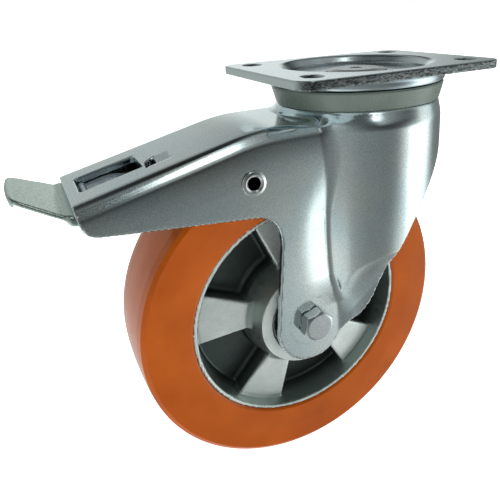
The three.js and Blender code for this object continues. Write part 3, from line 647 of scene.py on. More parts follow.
def swivel_seal(material):
    shape = lathe([(46.9, -20.9), (50.0, -20.9, 0.4), (50.6, -20.2, 0.6), (52.9, -11.4, 0.8),
                   (52.4, -10.3, 0.4), (49.4, -10.3)], 192)
    return add_piece("swivel_seal", shape, material)


def nut_field(across, low, high, bore):
    """A hexagon nut on the swivel axis."""
    def field(x, y, z):
        body = both(hexagon_field(x, y, across, 0.4), slab_field(z, low, high), 0.3)
        middle = (low + high) / 2
        cone = np.hypot(x, y) * 0.5 + np.abs(z - middle) * 0.866 - (across * 0.289 + (high - low) * 0.4)
        body = both(body, cone, 0.2)
        return without(body, np.hypot(x, y) - bore, 0.5)
    return field


def kingpin_nut(material):
    low, high = corners("kingpin_nut")
    shape = mesh_field(nut_field(24, low[2], high[2], 8.4), low, high, 0.5)
    return add_piece("kingpin_nut", shape, material)


def ball_ring(name, pitch, radius, count, height, half_width, half_height, material):
    """A row of balls in a thin cage, round the swivel axis."""
    low, high = height - half_height, height + half_height
    inner, outer = pitch - half_width, pitch + half_width
    cage = lathe([(inner, low), (outer, low), (outer, high), (inner, high)], 96)
    balls = []
    for n in range(count):
        angle = 2 * math.pi * n / count
        balls.append(ball((pitch * math.cos(angle), pitch * math.sin(angle), height), radius))
    return add_piece(name, joined(cage, *balls), material)


# ------------------------------------------------------------------ brake

LEVER_ROOF = [(-175, -52.2), (-124, -50.4), (-104, -48.0), (-88, -44.6), (-70, -40.6),
              (-60, -39.9), (-52, -41.2), (-36.2, -41.2)]
LEVER_PLAN = [(-175, 29), (-168, 29.4), (-160, 29.7), (-66, 29.7), (-56, 14), (-44.5, 12),
              (-44.5, 3.6), (-36.2, 3.2)]
TONGUE_ROOT = (-174.5, -52.2)
TONGUE_RISE = 0.52
TONGUE_LENGTH = 24.2
TONGUE_ROOT_HALF = 29.0
TONGUE_TIP_HALF = 22.6
TONGUE_SKIRT = 4.4


def lever_cheek_outline():
    return (
        [(-158, -52.8), (-152, -58), (-104, -60.4)]
        + arc(PIVOT_X, PIVOT_Z, 11, -126, -28.6, 16)
        + [(-68, -42.4), (-70, -41.2), (-88, -45.2), (-104, -48.6), (-124, -51)]
    )


def tongue_field(x, y, z):
    """The foot plate: a sloping sheet with a rounded, turned-down outer end."""
    out = TONGUE_ROOT[0] - x
    rise = z - TONGUE_ROOT[1] - TONGUE_RISE * out
    cos = 1 / math.hypot(1, TONGUE_RISE)
    tip = TONGUE_TIP_HALF
    end = TONGUE_LENGTH
    plan = outline_field(out, np.abs(y), (
        [(-3, -8), (-3, TONGUE_ROOT_HALF), (0, TONGUE_ROOT_HALF), (8, TONGUE_ROOT_HALF - 2.4),
         (end - 6, tip)]
        + quadratic((end - 6, tip), (end - 0.8, tip - 1.4), (end - 0.5, tip - 9))
        + quadratic((end - 0.5, tip - 9), (end, 6), (end, 0)) + [(end, -8)]
    ))
    sheet = both(plan, slab_field(rise, -LEVER_SHEET, 0) * cos, 1.0)
    skirt = both(both(plan, slab_field(rise, -TONGUE_SKIRT, -0.6) * cos, 0.7), end - 2.4 - out, 0.5)
    return either(sheet, skirt, 1.0)


def lever_field(x, y, z):
    side = np.abs(y)
    under = [(a, b - LEVER_SHEET) for a, b in reversed(LEVER_ROOF)]
    plan = LEVER_PLAN + [(a, -b) for a, b in reversed(LEVER_PLAN)]
    roof = both(outline_field(x, z, LEVER_ROOF + under), outline_field(x, y, plan), 0.6)
    cheek = both(outline_field(x, z, lever_cheek_outline()),
                 slab_field(side, LEVER_HALF - LEVER_SHEET, LEVER_HALF), 0.6)
    body = either(either(roof, cheek, 1.0), tongue_field(x, y, z), 5.0)
    body = without(body, np.hypot(x - PIVOT_X, z - PIVOT_Z) - 5.6, 0.4)
    body = without(body, np.hypot(x + 117, y) - 2.6, 0.3)
    return without(body, np.hypot(x + 132, y) - 2.3, 0.3)


def shoe_field(x, y, z):
    """Block with a face that meets the tread when the lever is down."""
    turn = math.radians(BRAKE_ANGLE)
    dx, dz = x - PIVOT_X, z - PIVOT_Z
    wx = PIVOT_X + dx * math.cos(turn) - dz * math.sin(turn) - AXLE_X
    wz = PIVOT_Z + dx * math.sin(turn) + dz * math.cos(turn) - AXLE_Z
    rho = np.hypot(wx, wz)
    angle = np.degrees(np.arctan2(wz, wx))
    sector = both(slab_field(rho, WHEEL_RADIUS + 0.4, WHEEL_RADIUS + 16.4),
                  slab_field(angle, 119, 136) * math.radians(1) * WHEEL_RADIUS, 1.0)
    roof = outline_field(x, z, [(-127.6, -53.8), (-124, -53.4), (-104, -51.0), (-90, -47.9),
                                (-90, -80), (-127.6, -80)])
    block = both(both(sector, np.abs(y) - 20, 1.0), roof, 0.8)
    return without(block, np.hypot(x + 117, y) - 2.4, 0.3)


def leaf_spring_field(x, y, z):
    line = smooth_path([(-127.5, -49.6), (-135.5, -49.9), (-142, -47.5), (-150, -46.3),
                        (-158, -47.7), (-164.6, -49.5)])
    strip = both(path_distance(x, z, line) - 0.55, np.abs(y) - SPRING_HALF, 0.3)
    roll = both(np.hypot(x + 165.2, z + 49.2) - 1.75, np.abs(y) - SPRING_HALF, 0.5)
    body = either(strip, roll, 0.6)
    return without(body, np.hypot(x + 132, y) - 2.3, 0.2)


def shoe_screw(material):
    shape = lathe([(0, -58.5), (2, -58.5), (2, -48.5), (4.6, -48.5, 0.2), (4.6, -47.3, 0.5),
                   (2.6, -45.9, 1), (1.4, -45.9, 0.1), (1.2, -47.2, 0.1), (0, -47.2)],
                  48, centre=(-117, 0))
    return add_piece("shoe_screw", shape, material)


def spring_rivet(material):
    shape = lathe([(0, -55.2), (3.4, -55.2), (3.4, -53.9), (1.9, -53.9), (1.9, -49.0), (3.6, -49.0),
                   (3.3, -48.0, 0.8), (1.5, -47.4, 0.8), (0, -47.4)], 48, centre=(-132, 0))
    return add_piece("spring_rivet", shape, material)


def hollow_rivet(name, side, material):
    """A tubular rivet through one wall of the arm, closed inside and rolled over outside."""
    inner = WALL_Y - SHEET - 0.3
    outer = WALL_Y + 0.3
    profile = [(0, 26.9), (5.3, 26.9), (5.3, inner - 1.2), (6.9, inner - 1.2), (6.9, inner), (5.3, inner),
               (5.3, outer), (6.9, outer, 0.3), (6.7, outer + 0.9, 0.6), (4.9, outer + 1.4, 0.8),
               (3.5, outer + 0.5, 0.8), (3.5, 28, 0.5), (0, 28)]
    shape = lathe([(p[0], side * p[1], *p[2:]) for p in profile], 64, 0.25, "y", (PIVOT_X, PIVOT_Z))
    return add_piece(name, shape, material)


# ------------------------------------------------------------------ wheel

def tyre(material):
    half = TREAD_HALF
    outer = WHEEL_RADIUS
    bond = RIM_RADIUS - 0.1
    side = [(bond, half - 2.6, 0.1), (bond + 1.2, half - 1.6, 1), (84, half - 0.5, 10),
            (outer - 3.4, half, 0.5), (outer - 1.0, half - 1.6, 0.9), (outer - 0.35, half - 8, 8),
            (outer, 4, 20)]
    profile = side + [(p[0], -p[1], p[2]) for p in reversed(side)]
    profile += [(bond, -16), (bond + 6.4, -15), (bond + 6.4, 15), (bond, 16)]
    shape = lathe(profile, 256, 0.4, "y", (AXLE_X, AXLE_Z), 6)
    return add_piece("tyre", shape, material)


def wheel_field(x, y, z):
    """Rim, boss, web and wedge spokes of the cast centre."""
    dx, dz = x - AXLE_X, z - AXLE_Z
    rho = np.hypot(dx, dz)
    side = np.abs(y)
    rim = outline_field(rho, side, [(64.5, -9), (64.5, 4), (67.4, 22.5), (70, 22.5), (70, 15.7),
                                    (76, 14.7), (76, -9)])
    boss = outline_field(rho, side, [(15, -9), (36.5, -9), (36, 12), (30.7, 30), (23.9, 30),
                                     (23.9, 14.7), (15, 14.7)])
    web = both(slab_field(rho, 20, 70), side - 3)
    pitch = 2 * math.pi / SPOKES
    angle = np.arctan2(dz, dx) - math.radians(SPOKE_START)
    angle = angle - pitch * np.round(angle / pitch)
    out = rho * np.cos(angle)
    share = np.clip((out - 28) / 38, 0, 1.1)
    spoke = both(np.abs(rho * np.sin(angle)) - 6.5 - 10 * share, side - 19 + 4 * share, 1.2)
    spoke = both(spoke, slab_field(rho, 29, 69))
    body = either(either(web, spoke, 2.5), boss, 3.0)
    body = either(body, rim, 1.5)
    bore = either(both(rho - 15, side - 40), both(rho - 23.9, slab_field(side, 14.7, 40)))
    return both(without(body, bore, 0.4), side - 30, 0.5)


def bearing(side, name, steel, rubber):
    """Rings, balls and seal of one wheel bearing."""
    near = side * (HUB_HALF - 1)
    far = side * (HUB_HALF - 15)
    middle = (near + far) / 2
    turn = {"axis": "y", "centre": (AXLE_X, AXLE_Z)}
    outer = [(20.4, near), (23.5, near, 0.6), (23.5, far, 0.6), (20.4, far)]
    inner = [(10, near, 0.6), (13.2, near), (13.2, far), (10, far, 0.6)]
    seal = [(14.3, side * 28.6), (19.3, side * 28.6), (19.3, side * 27.2), (14.3, side * 27.2)]
    cage = [(15.7, middle - 1.6), (17.8, middle - 1.6), (17.8, middle + 1.6), (15.7, middle + 1.6)]
    add_piece(name + "_bearing_outer_ring", lathe(outer, 128, **turn), steel)
    add_piece(name + "_bearing_inner_ring", lathe(inner, 96, **turn), steel)
    add_piece(name + "_bearing_seal", lathe(seal, 96, **turn), rubber)
    parts = [lathe(cage, 64, **turn)]
    for n in range(7):
        angle = 2 * math.pi * n / 7
        centre = (AXLE_X + 16.75 * math.cos(angle), middle, AXLE_Z + 16.75 * math.sin(angle))
        parts.append(ball(centre, 3.1, 24))
    add_piece(name + "_bearing_balls", joined(*parts), steel)


def axle_parts(steel, bright):
    turn = {"axis": "y", "centre": (AXLE_X, AXLE_Z)}
    add_piece("axle_tube", lathe([(6.4, -31.7), (9.6, -31.7), (9.6, 31.7), (6.4, 31.7)], 64, **turn), steel)
    for name, side in (("near", -1), ("far", 1)):
        ring = [(10.1, side * 29.3), (14.5, side * 29.3, 0.5),
                (14.5, side * 31.7, 0.5), (10.1, side * 31.7)]
        add_piece(name + "_spacer_ring", lathe(ring, 64, **turn), steel)
    washer = [(6.4, 36.3), (12, 36.3, 0.3), (12, 38.5, 0.7), (6.4, 38.5)]
    add_piece("axle_washer", lathe(washer, 96, **turn), bright)


def bolt_field(x, y, z):
    """Hexagon-headed bolt with a threaded far end."""
    dx, dz = x - AXLE_X, z - AXLE_Z
    rho = np.hypot(dx, dz)
    cos, sin = math.cos(BOLT_TURN), math.sin(BOLT_TURN)
    hexagon = hexagon_field(dx * cos + dz * sin, dz * cos - dx * sin, BOLT_FLATS, 0.4)
    head = both(hexagon, slab_field(y, -44.4, -36.9), 0.25)
    head = either(head, both(rho - 8.6, slab_field(y, -40, -36.3), 0.2), 0.2)
    cone = rho * 0.5 - (y + 44.4) * 0.866 - 8.2 * 0.5
    head = both(head, cone, 0.3)
    pitch = 1.75
    turn = y / pitch + np.arctan2(dz, dx) / (2 * math.pi)
    ridge = np.abs(turn - np.round(turn)) * 2 * 0.9
    depth = np.clip((y - 30) / 2, 0, 1) * ridge
    shank = both(rho - 6 + depth * 0.6, slab_field(y, -38, 51.5), 0.6)
    return either(head, shank, 0.4)


def axle_nut_field(x, y, z):
    dx, dz = x - AXLE_X, z - AXLE_Z
    rho = np.hypot(dx, dz)
    body = both(hexagon_field(dx, dz, 19, 0.35), slab_field(y, 38.8, 46.8), 0.3)
    cone = rho * 0.5 + np.abs(y - 42.8) * 0.866 - (9.4 * 0.5 + 4 * 0.866)
    body = both(body, cone, 0.25)
    collar = both(rho - 8.8, slab_field(y, 44, 49.8), 1.0)
    body = either(body, collar, 0.8)
    return without(body, rho - 6.4, 0.4)


# ------------------------------------------------------------------ materials

class Tree:
    """Short names for building a node tree."""

    def __init__(self, owner):
        owner.use_nodes = True
        self.tree = owner.node_tree
        self.tree.nodes.clear()

    def add(self, kind):
        return self.tree.nodes.new(kind)

    def link(self, a, b):
        self.tree.links.new(a, b)

    def feed(self, socket, value):
        """Links a socket, or sets it to a number or vector."""
        if isinstance(value, bpy.types.NodeSocket):
            self.link(value, socket)
        else:
            socket.default_value = value

    def math(self, operation, *values):
        node = self.add("ShaderNodeMath")
        node.operation = operation
        for socket, value in zip(node.inputs, values):
            self.feed(socket, value)
        return node.outputs[0]

    def fade(self, value, start, end, low=0.0, high=1.0):
        """From low to high as the value goes from start to end, smoothly."""
        node = self.add("ShaderNodeMapRange")
        node.interpolation_type = "SMOOTHSTEP"
        for socket, number in zip(node.inputs, (value, start, end, low, high)):
            self.feed(socket, number)
        return node.outputs["Result"]


    def reach(self, a, b):
        """Length of the vector (a, b)."""
        return self.math("SQRT", self.math("ADD", self.math("MULTIPLY", a, a), self.math("MULTIPLY", b, b)))


class Nodes(Tree):
    """A material's node tree with a Principled shader."""

    def __init__(self, name):
        self.material = bpy.data.materials.new(name)
        super().__init__(self.material)
        self.shader = self.add("ShaderNodeBsdfPrincipled")
        output = self.add("ShaderNodeOutputMaterial")
        self.link(self.shader.outputs["BSDF"], output.inputs["Surface"])
        self.place = self.add("ShaderNodeTexCoord").outputs["Object"]

    def set(self, **values):
        for name, value in values.items():
            self.shader.inputs[name.replace("_", " ")].default_value = value

    def stretched(self, scale):
        mapping = self.add("ShaderNodeMapping")
        mapping.inputs["Scale"].default_value = scale
        self.link(self.place, mapping.inputs["Vector"])
        return mapping.outputs["Vector"]

    def noise(self, scale, detail=4.0, roughness=0.55, vector=None, distortion=0.0):
        """Noise with about `scale` features in a metre, from 0 to 1."""
        node = self.add("ShaderNodeTexNoise")
        node.inputs["Scale"].default_value = scale
        node.inputs["Detail"].default_value = detail
        node.inputs["Roughness"].default_value = roughness
        node.inputs["Distortion"].default_value = distortion
        self.link(vector or self.place, node.inputs["Vector"])
        return node.outputs["Fac"]

    def ramp(self, value, *stops):
        node = self.add("ShaderNodeValToRGB")
        node.color_ramp.elements.remove(node.color_ramp.elements[1])
        for n, (place, colour) in enumerate(stops):
            element = node.color_ramp.elements[0] if n == 0 else node.color_ramp.elements.new(place)
            element.position = place
            element.color = (*colour, 1)
        self.link(value, node.inputs["Fac"])
        return node.outputs["Color"]

    def spread(self, value, low, high, from_low=0.3, from_high=0.7):
        node = self.add("ShaderNodeMapRange")
        node.inputs["From Min"].default_value = from_low
        node.inputs["From Max"].default_value = from_high
        node.inputs["To Min"].default_value = low
        node.inputs["To Max"].default_value = high
        self.link(value, node.inputs["Value"])
        return node.outputs["Result"]

    def mix(self, factor, a, b, mode="MIX"):
        node = self.add("ShaderNodeMix")
        node.data_type = "RGBA"
        node.blend_type = mode
        for value, socket in ((factor, 0), (a, 6), (b, 7)):
            if isinstance(value, (int, float)):
                node.inputs[socket].default_value = value
            elif isinstance(value, tuple):
                node.inputs[socket].default_value = (*value, 1)
            else:
                self.link(value, node.inputs[socket])
        return node.outputs[2]

    def paint(self, value, dark, light):
        """Base colour between two tones, over a texture."""
        self.link(self.ramp(value, (0.3, dark), (0.7, light)), self.shader.inputs["Base Color"])

    def polish(self, value, low, high):
        """Roughness between two values, over a texture."""
        self.link(self.spread(value, low, high), self.shader.inputs["Roughness"])

    def bump(self, *layers):
        """Bump from (height, depth in metres) layers, one on the other."""
        last = None
        for height, depth in layers:
            node = self.add("ShaderNodeBump")
            node.inputs["Strength"].default_value = 1.0
            node.inputs["Distance"].default_value = depth
            self.link(height, node.inputs["Height"])
            if last:
                self.link(last, node.inputs["Normal"])
            last = node.outputs["Normal"]
        self.link(last, self.shader.inputs["Normal"])


def sheared_faces(n):
    """The plate's punched and sheared edges, and which of them run along X (these get painted shade), as
    two factors.
    """
    place = n.add("ShaderNodeSeparateXYZ")
    n.link(n.place, place.inputs[0])
    x, y, z = place.outputs
    facing = n.add("ShaderNodeSeparateXYZ")
    n.link(n.add("ShaderNodeTexCoord").outputs["Normal"], facing.inputs[0])
    upright = n.fade(n.math("ABSOLUTE", facing.outputs["Z"]), 0.8, 0.4)
    out = n.reach(x, y)
    clear = n.math("MULTIPLY", n.fade(out, 0.0485, 0.049), n.fade(z, -0.0054, -0.005))
    shaded_sides = n.fade(n.math("ABSOLUTE", facing.outputs["Y"]), 0.3, 0.8)
    return n.math("MULTIPLY", upright, clear), shaded_sides


def zinc_sheet(name, dark, light, rough_low, rough_high, grain=0.000002, sheared=False):
    """Zinc-plated pressed steel: fine mottled grain over soft clouding."""
    n = Nodes(name)
    n.set(Metallic=1.0)
    fine = n.noise(1300, 4, 0.65)
    cloud = n.noise(30, 3, 0.5)
    lines = n.noise(1, 3, 0.6, n.stretched((60, 2200, 2200)))
    colour = n.ramp(fine, (0.3, dark), (0.7, light))
    tint = n.ramp(cloud, (0.35, (0.9, 0.95, 1.0)), (0.65, (1.0, 0.995, 0.98)))
    colour = n.mix(1.0, colour, tint, "MULTIPLY")
    rough = n.spread(n.noise(800, 3, 0.6), rough_low, rough_high)
    if sheared:
        edge, shaded_sides = sheared_faces(n)
        streaks = n.noise(1, 4, 0.7, n.stretched((500, 500, 1600)))
        speckle_and_shade = n.ramp(streaks, (0.4, (0.03, 0.035, 0.035)), (0.7, (0.4, 0.43, 0.43)))
        # Painted shade: the sheared edges that face ±Y get a dark streaky speckle and the others a plain
        # grey sheared finish; the streaks are the sheared texture, their darkness is painted shade.
        colour = n.mix(edge, colour, n.mix(shaded_sides, (0.5, 0.56, 0.55), speckle_and_shade))
        rough = n.math("ADD", rough, n.math("MULTIPLY", edge, 0.15))
    n.link(colour, n.shader.inputs["Base Color"])
    n.link(rough, n.shader.inputs["Roughness"])
    n.bump((n.noise(30, 2, 0.4), 0.00002), (lines, 0.0000004), (n.noise(1300, 1, 0.5), grain))
    return n.material


def bright_zinc():
    n = Nodes("bright_zinc")
    n.set(Metallic=1.0)
    fine = n.noise(1400, 4, 0.6)
    n.paint(fine, (0.5, 0.54, 0.55), (0.72, 0.75, 0.75))
    n.polish(n.noise(500), 0.22, 0.34)
    n.bump((n.noise(700, 3), 0.000003))
    return n.material


def lever_zinc():
    """The duller, slightly green plating of the foot lever."""
    n = Nodes("dull_zinc")
    n.set(Metallic=1.0)
    fine = n.noise(1300, 4, 0.65)
    cloud = n.noise(70, 3, 0.5)
    colour = n.ramp(fine, (0.3, (0.44, 0.51, 0.48)), (0.7, (0.52, 0.59, 0.55)))
    colour = n.mix(1.0, colour, n.ramp(cloud, (0.3, (0.9, 0.95, 0.92)), (0.7, (1.0, 1.0, 1.0))), "MULTIPLY")
    n.link(colour, n.shader.inputs["Base Color"])
    n.polish(n.noise(800, 3, 0.6), 0.2, 0.32)
    n.bump((n.noise(40, 2, 0.4), 0.00002), (n.noise(1300, 1, 0.5), 0.000001))
    return n.material


def rivet_steel():
    """Bright zinc, with the bore behind the rolled end painted near black as painted shade."""
    n = Nodes("rivet_steel")
    n.set(Metallic=1.0)
    depth = n.add("ShaderNodeSeparateXYZ")
    n.link(n.place, depth.inputs[0])
    inside = n.fade(n.math("ABSOLUTE", depth.outputs["Y"]), 0.0366, 0.0358)
    bright = n.ramp(n.noise(1400, 4, 0.6), (0.3, (0.62, 0.65, 0.66)), (0.7, (0.82, 0.84, 0.83)))
    # Painted shade: the bore is coloured near black and made rougher, standing in for the shade inside it.
    n.link(n.mix(inside, bright, (0.01, 0.01, 0.01)), n.shader.inputs["Base Color"])
    n.link(n.math("ADD", n.spread(n.noise(500), 0.16, 0.26), n.math("MULTIPLY", inside, 0.4)),
           n.shader.inputs["Roughness"])
    n.bump((n.noise(700, 3), 0.000003))
    return n.material


def ground_steel():
    n = Nodes("ground_steel")
    n.set(Metallic=1.0)
    lines = n.noise(1, 3, 0.5, n.stretched((300, 6000, 300)))
    n.paint(lines, (0.42, 0.44, 0.45), (0.62, 0.63, 0.64))
    n.polish(n.noise(400), 0.2, 0.34)
    n.bump((lines, 0.000006))
    return n.material


def spring_steel():
    n = Nodes("spring_steel")
    n.set(Metallic=0.85)
    blotch = n.noise(260, 4, 0.6)
    n.paint(blotch, (0.34, 0.41, 0.48), (0.6, 0.66, 0.7))
    n.polish(n.noise(700), 0.24, 0.4)
    n.bump((blotch, 0.00002))
    return n.material


def cast_aluminium():
    """Rough casting: bright wedge faces, darker hub and rim, and pockets darkened with painted shade."""
    n = Nodes("cast_aluminium")
    n.set(Metallic=1.0)
    grain = n.noise(1100, 5, 0.65)
    cloud = n.noise(90, 4, 0.6)
    bright = n.ramp(grain, (0.3, (0.8, 0.86, 0.84)), (0.7, (0.95, 0.99, 0.97)))
    tint = n.ramp(cloud, (0.3, (0.82, 0.86, 0.84)), (0.7, (1.0, 1.0, 1.0)))
    bright = n.mix(1.0, bright, tint, "MULTIPLY")
    place = n.add("ShaderNodeSeparateXYZ")
    n.link(n.place, place.inputs[0])
    side = n.math("ABSOLUTE", place.outputs["Y"])
    dx = n.math("SUBTRACT", place.outputs["X"], AXLE_X * MM)
    dz = n.math("SUBTRACT", place.outputs["Z"], AXLE_Z * MM)
    out = n.reach(dx, dz)
    spokes = n.math("MULTIPLY", n.fade(out, 0.0355, 0.038), n.fade(out, 0.066, 0.0635))
    wedge = n.math("MULTIPLY", spokes, n.fade(side, 0.0142, 0.0152))
    machined = n.fade(side, 0.0288, 0.0296)
    rim_face = n.fade(out, 0.067, 0.0675)
    rim_edge = n.math("MULTIPLY", rim_face, n.fade(side, 0.022, 0.0224))
    shown = n.math("MAXIMUM", n.math("MAXIMUM", wedge, machined), rim_edge)
    # Painted shade: surfaces nearer the middle plane than about 14.5 mm fade to near black, standing in for
    # the shade deep in the pockets.
    pocket_shade = n.fade(side, 0.0145, 0.005)
    darker_tone_and_pocket_shade = n.mix(pocket_shade, (0.42, 0.48, 0.46), (0.13, 0.155, 0.15))
    n.link(n.mix(shown, darker_tone_and_pocket_shade, bright), n.shader.inputs["Base Color"])
    n.link(n.fade(shown, 0.0, 1.0, 1.0, 0.75), n.shader.inputs["Metallic"])
    n.polish(n.noise(350, 4), 0.38, 0.55)
    n.bump((n.noise(70, 2), 0.0003), (grain, 0.00003))
    return n.material


def polyurethane():
    n = Nodes("orange_polyurethane")
    n.set(IOR=1.35, Subsurface_Weight=0.06, Subsurface_Scale=0.005)
    n.set(Subsurface_Radius=(1.0, 0.35, 0.08))
    cloud = n.noise(30, 3, 0.5)
    n.paint(cloud, (0.4, 0.072, 0.001), (0.5, 0.1, 0.002))
    n.polish(n.noise(120, 3), 0.16, 0.24)
    n.bump((n.noise(25, 2), 0.0002), (n.noise(500, 3), 0.000006))
    return n.material


def seal_plastic():
    n = Nodes("grey_seal")
    cloud = n.noise(60, 3)
    n.paint(cloud, (0.115, 0.15, 0.13), (0.15, 0.185, 0.16))
    n.polish(n.noise(600), 0.2, 0.3)
    n.bump((n.noise(900, 4), 0.000004))
    return n.material


def black_rubber():
    n = Nodes("black_seal")
    fine = n.noise(1200, 4)
    n.paint(fine, (0.012, 0.012, 0.012), (0.035, 0.035, 0.035))
    n.polish(fine, 0.5, 0.7)
    n.bump((fine, 0.00002))
    return n.material


# ------------------------------------------------------------------ camera, floor and light

CAMERA_PLACE = (-0.18387, -0.27704, 0.03418)
CAMERA_YAW = 28.95
CAMERA_PITCH = 21.2
CAMERA_ROLL = -2.43
CAMERA_LENS = 37.76
CAMERA_SHIFT = (-0.137, -0.0853)


def add_camera():
    yaw, pitch, roll = (math.radians(a) for a in (CAMERA_YAW, CAMERA_PITCH, CAMERA_ROLL))
    ahead = Vector((math.sin(yaw) * math.cos(pitch), math.cos(yaw) * math.cos(pitch), -math.sin(pitch)))
    right = Vector((math.cos(yaw), -math.sin(yaw), 0))
    up = right.cross(ahead)
    right_rolled = math.cos(roll) * right + math.sin(roll) * up
    up_rolled = math.cos(roll) * up - math.sin(roll) * right
    turn = Matrix((right_rolled, up_rolled, -ahead)).transposed()
    data = bpy.data.cameras.new("camera")
    data.lens = CAMERA_LENS
    data.sensor_width = 36
    data.shift_x, data.shift_y = CAMERA_SHIFT
    data.clip_start = 0.01
    camera = bpy.data.objects.new("camera", data)
    camera.matrix_world = Matrix.Translation(CAMERA_PLACE) @ turn.to_4x4()
    bpy.context.scene.collection.objects.link(camera)
    bpy.context.scene.camera = camera


def add_floor():
    """A large pale floor; mirrors in the metal see the studio instead of it."""
    size = 30.0
    height = FLOOR_Z * MM
    mesh = bpy.data.meshes.new("floor")
    square = [(-size, -size, height), (size, -size, height), (size, size, height), (-size, size, height)]
    mesh.from_pydata(square, [], [(0, 1, 2, 3)])
    n = Nodes("floor")
    n.set(Roughness=0.9, Emission_Color=(1, 1, 1, 1), Emission_Strength=1.2)
    n.paint(n.noise(3), (0.93, 0.93, 0.93), (0.95, 0.95, 0.95))
    mesh.materials.append(n.material)
    floor = bpy.data.objects.new("floor", mesh)
    bpy.context.scene.collection.objects.link(floor)
    floor.visible_glossy = False


def add_light(name, place, aim, size, power):
    data = bpy.data.lights.new(name, "AREA")
    data.shape = "RECTANGLE"
    data.size, data.size_y = size
    data.energy = power
    light = bpy.data.objects.new(name, data)
    light.location = place
    light.rotation_mode = "QUATERNION"
    light.rotation_quaternion = (Vector(aim) - Vector(place)).to_track_quat("-Z", "Y")
    bpy.context.scene.collection.objects.link(light)
    light.visible_glossy = False


# Brightness of the studio all round (azimuth in degrees from +X towards +Y, strength), for each
# elevation in degrees. The floor ring is what polished metal sees below the horizon.
RING_SCALE = 3.5
RINGS = [
    (-64, [(-180, 1.0), (-125, 0.7), (-95, 0.3), (-50, 0.3), (-20, 0.9), (0, 1.0), (180, 1.0)]),
    (-46, [(-180, 1.0), (-125, 0.7), (-95, 0.35), (-60, 0.35), (-45, 0.4), (-20, 0.9), (0, 1.0),
           (180, 1.0)]),
    (-32, [(-180, 1.0), (-150, 0.8), (-135, 0.4), (-90, 0.26), (-75, 0.35), (-64, 0.65), (-50, 1.1),
           (-30, 1.6), (0, 1.0), (45, 0.8), (90, 0.8), (180, 1.0)]),
    (-15, [(-180, 0.36), (-160, 0.36), (-140, 0.34), (-120, 0.27), (-100, 0.24), (-83, 0.22), (-75, 0.23),
           (-67, 0.27), (-58, 0.48), (-46, 1.2), (-34, 2.1), (-15, 1.6), (0, 0.5), (9, 0.25), (45, 0.3),
           (56, 0.7), (70, 0.95), (95, 0.6), (120, 0.75), (150, 0.7), (180, 0.36)]),
    (8, [(-180, 0.45), (-155, 0.4), (-135, 0.27), (-105, 0.12), (-60, 0.12), (-45, 0.3), (-32, 0.6),
         (-18, 1.1), (-5, 0.9), (6, 0.3), (40, 0.35), (52, 0.75), (70, 1.0), (95, 0.6), (180, 0.45)]),
    (22, [(-180, 0.6), (-155, 0.5), (-135, 0.25), (-105, 0.08), (-60, 0.08), (-45, 0.12), (-32, 0.3),
          (-18, 0.9), (-5, 0.8), (6, 0.2), (30, 0.06), (62, 0.06), (80, 0.4), (95, 0.5), (180, 0.6)]),
    (42, [(-180, 0.4), (-120, 0.12), (-100, 0.14), (-88, 0.45), (-70, 0.3), (-40, 0.2), (0, 0.3),
          (40, 0.25), (70, 0.35), (95, 0.35), (180, 0.4)]),
    (58, [(-180, 0.2), (-120, 0.1), (-104, 0.2), (-98, 1.6), (-90, 3.4), (-82, 2.6), (-70, 0.5), (-45, 0.3),
          (-20, 0.5), (20, 0.15), (60, 0.06), (120, 0.05), (180, 0.2)]),
    (80, [(-180, 0.08), (-100, 0.5), (-85, 1.0), (-50, 0.4), (0, 0.3), (60, 0.06), (180, 0.08)]),
]


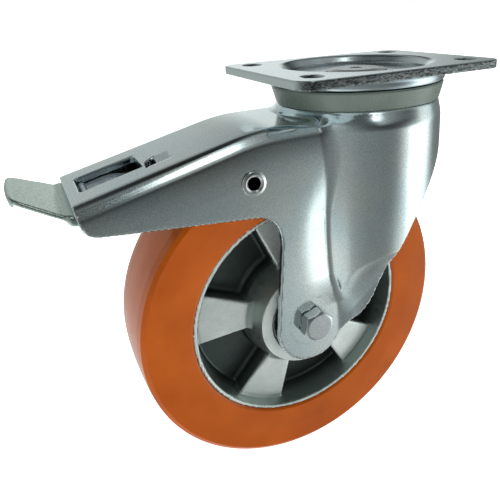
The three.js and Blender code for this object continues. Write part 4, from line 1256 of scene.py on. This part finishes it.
def add_world():
    """A soft studio all round; the camera itself sees plain white."""
    world = bpy.data.worlds.new("studio")
    bpy.context.scene.world = world
    t = Tree(world)
    way = t.add("ShaderNodeSeparateXYZ")
    t.link(t.add("ShaderNodeTexCoord").outputs["Generated"], way.inputs[0])
    x, y, z = way.outputs
    level = t.reach(x, y)
    elevation = t.math("DEGREES", t.math("ARCTAN2", z, level))
    azimuth = t.math("ADD", t.math("DIVIDE", t.math("ARCTAN2", y, x), 2 * math.pi), 0.5)
    light = None
    for n, (height, ring) in enumerate(RINGS):
        curve = t.add("ShaderNodeFloatCurve")
        line = curve.mapping.curves[0]
        while len(line.points) < len(ring):
            line.points.new(0.5, 0.5)
        for point, (degrees, strength) in zip(line.points, ring):
            point.location = (degrees / 360 + 0.5, strength / RING_SCALE)
        curve.mapping.update()
        t.link(azimuth, curve.inputs["Value"])
        here = t.math("MULTIPLY", curve.outputs[0], RING_SCALE)
        if light is None:
            light = here
            continue
        share = t.fade(elevation, RINGS[n - 1][0], height)
        light = t.math("ADD", t.math("MULTIPLY", light, t.math("SUBTRACT", 1.0, share)),
                       t.math("MULTIPLY", here, share))
    seen = t.add("ShaderNodeBackground")
    seen.inputs["Color"].default_value = (1, 1, 1, 1)
    studio = t.add("ShaderNodeBackground")
    studio.inputs["Color"].default_value = (0.94, 1.0, 0.98, 1)
    t.link(light, studio.inputs["Strength"])
    choose = t.add("ShaderNodeMixShader")
    t.link(t.add("ShaderNodeLightPath").outputs["Is Camera Ray"], choose.inputs[0])
    t.link(studio.outputs[0], choose.inputs[1])
    t.link(seen.outputs[0], choose.inputs[2])
    t.link(choose.outputs[0], t.add("ShaderNodeOutputWorld").inputs["Surface"])


def add_studio():
    bpy.context.scene.view_settings.view_transform = "Standard"
    add_camera()
    add_floor()
    add_world()
    middle = (-0.05, 0, -0.1)
    add_light("overhead", (-0.2, 0.3, 1.4), middle, (1.2, 1.2), 12)


# ------------------------------------------------------------------ assembly

def main():
    sheet = zinc_sheet("zinc_plated_sheet", (0.56, 0.62, 0.63), (0.84, 0.89, 0.87), 0.09, 0.16)
    rolled = zinc_sheet("zinc_plated_plate", (0.6, 0.66, 0.68), (0.72, 0.78, 0.8), 0.14, 0.24,
                        sheared=True)
    bright = bright_zinc()
    steel = ground_steel()
    spring = spring_steel()
    seal = seal_plastic()
    rubber = black_rubber()
    add_studio()
    fork_housing(sheet)
    top_plate(rolled)
    kingpin(bright)
    kingpin_sleeve(steel)
    lower_race_cup(sheet)
    field_piece("swivel_lock_ring", lock_ring_field, 0.9, steel)
    kingpin_nut(bright)
    swivel_seal(seal)
    ball_ring("upper_ball_ring", 40, 5.2, 10, -15.6, 2.4, 2.0, steel)
    ball_ring("lower_ball_ring", 23.6, 3.5, 8, -29.05, 1.8, 1.4, steel)
    field_piece("brake_lever", lever_field, 0.9, lever_zinc())
    field_piece("brake_shoe", shoe_field, 0.6, steel)
    field_piece("leaf_spring", leaf_spring_field, 0.45, spring)
    shoe_screw(bright)
    spring_rivet(bright)
    bored = rivet_steel()
    hollow_rivet("near_hollow_rivet", -1, bored)
    hollow_rivet("far_hollow_rivet", 1, bored)
    tyre(polyurethane())
    field_piece("wheel_centre", wheel_field, 1.15, cast_aluminium())
    bearing(-1, "near", steel, rubber)
    bearing(1, "far", steel, rubber)
    axle_parts(steel, bright)
    field_piece("axle_bolt", bolt_field, 0.42, bright)
    field_piece("axle_nut", axle_nut_field, 0.42, bright)


main()
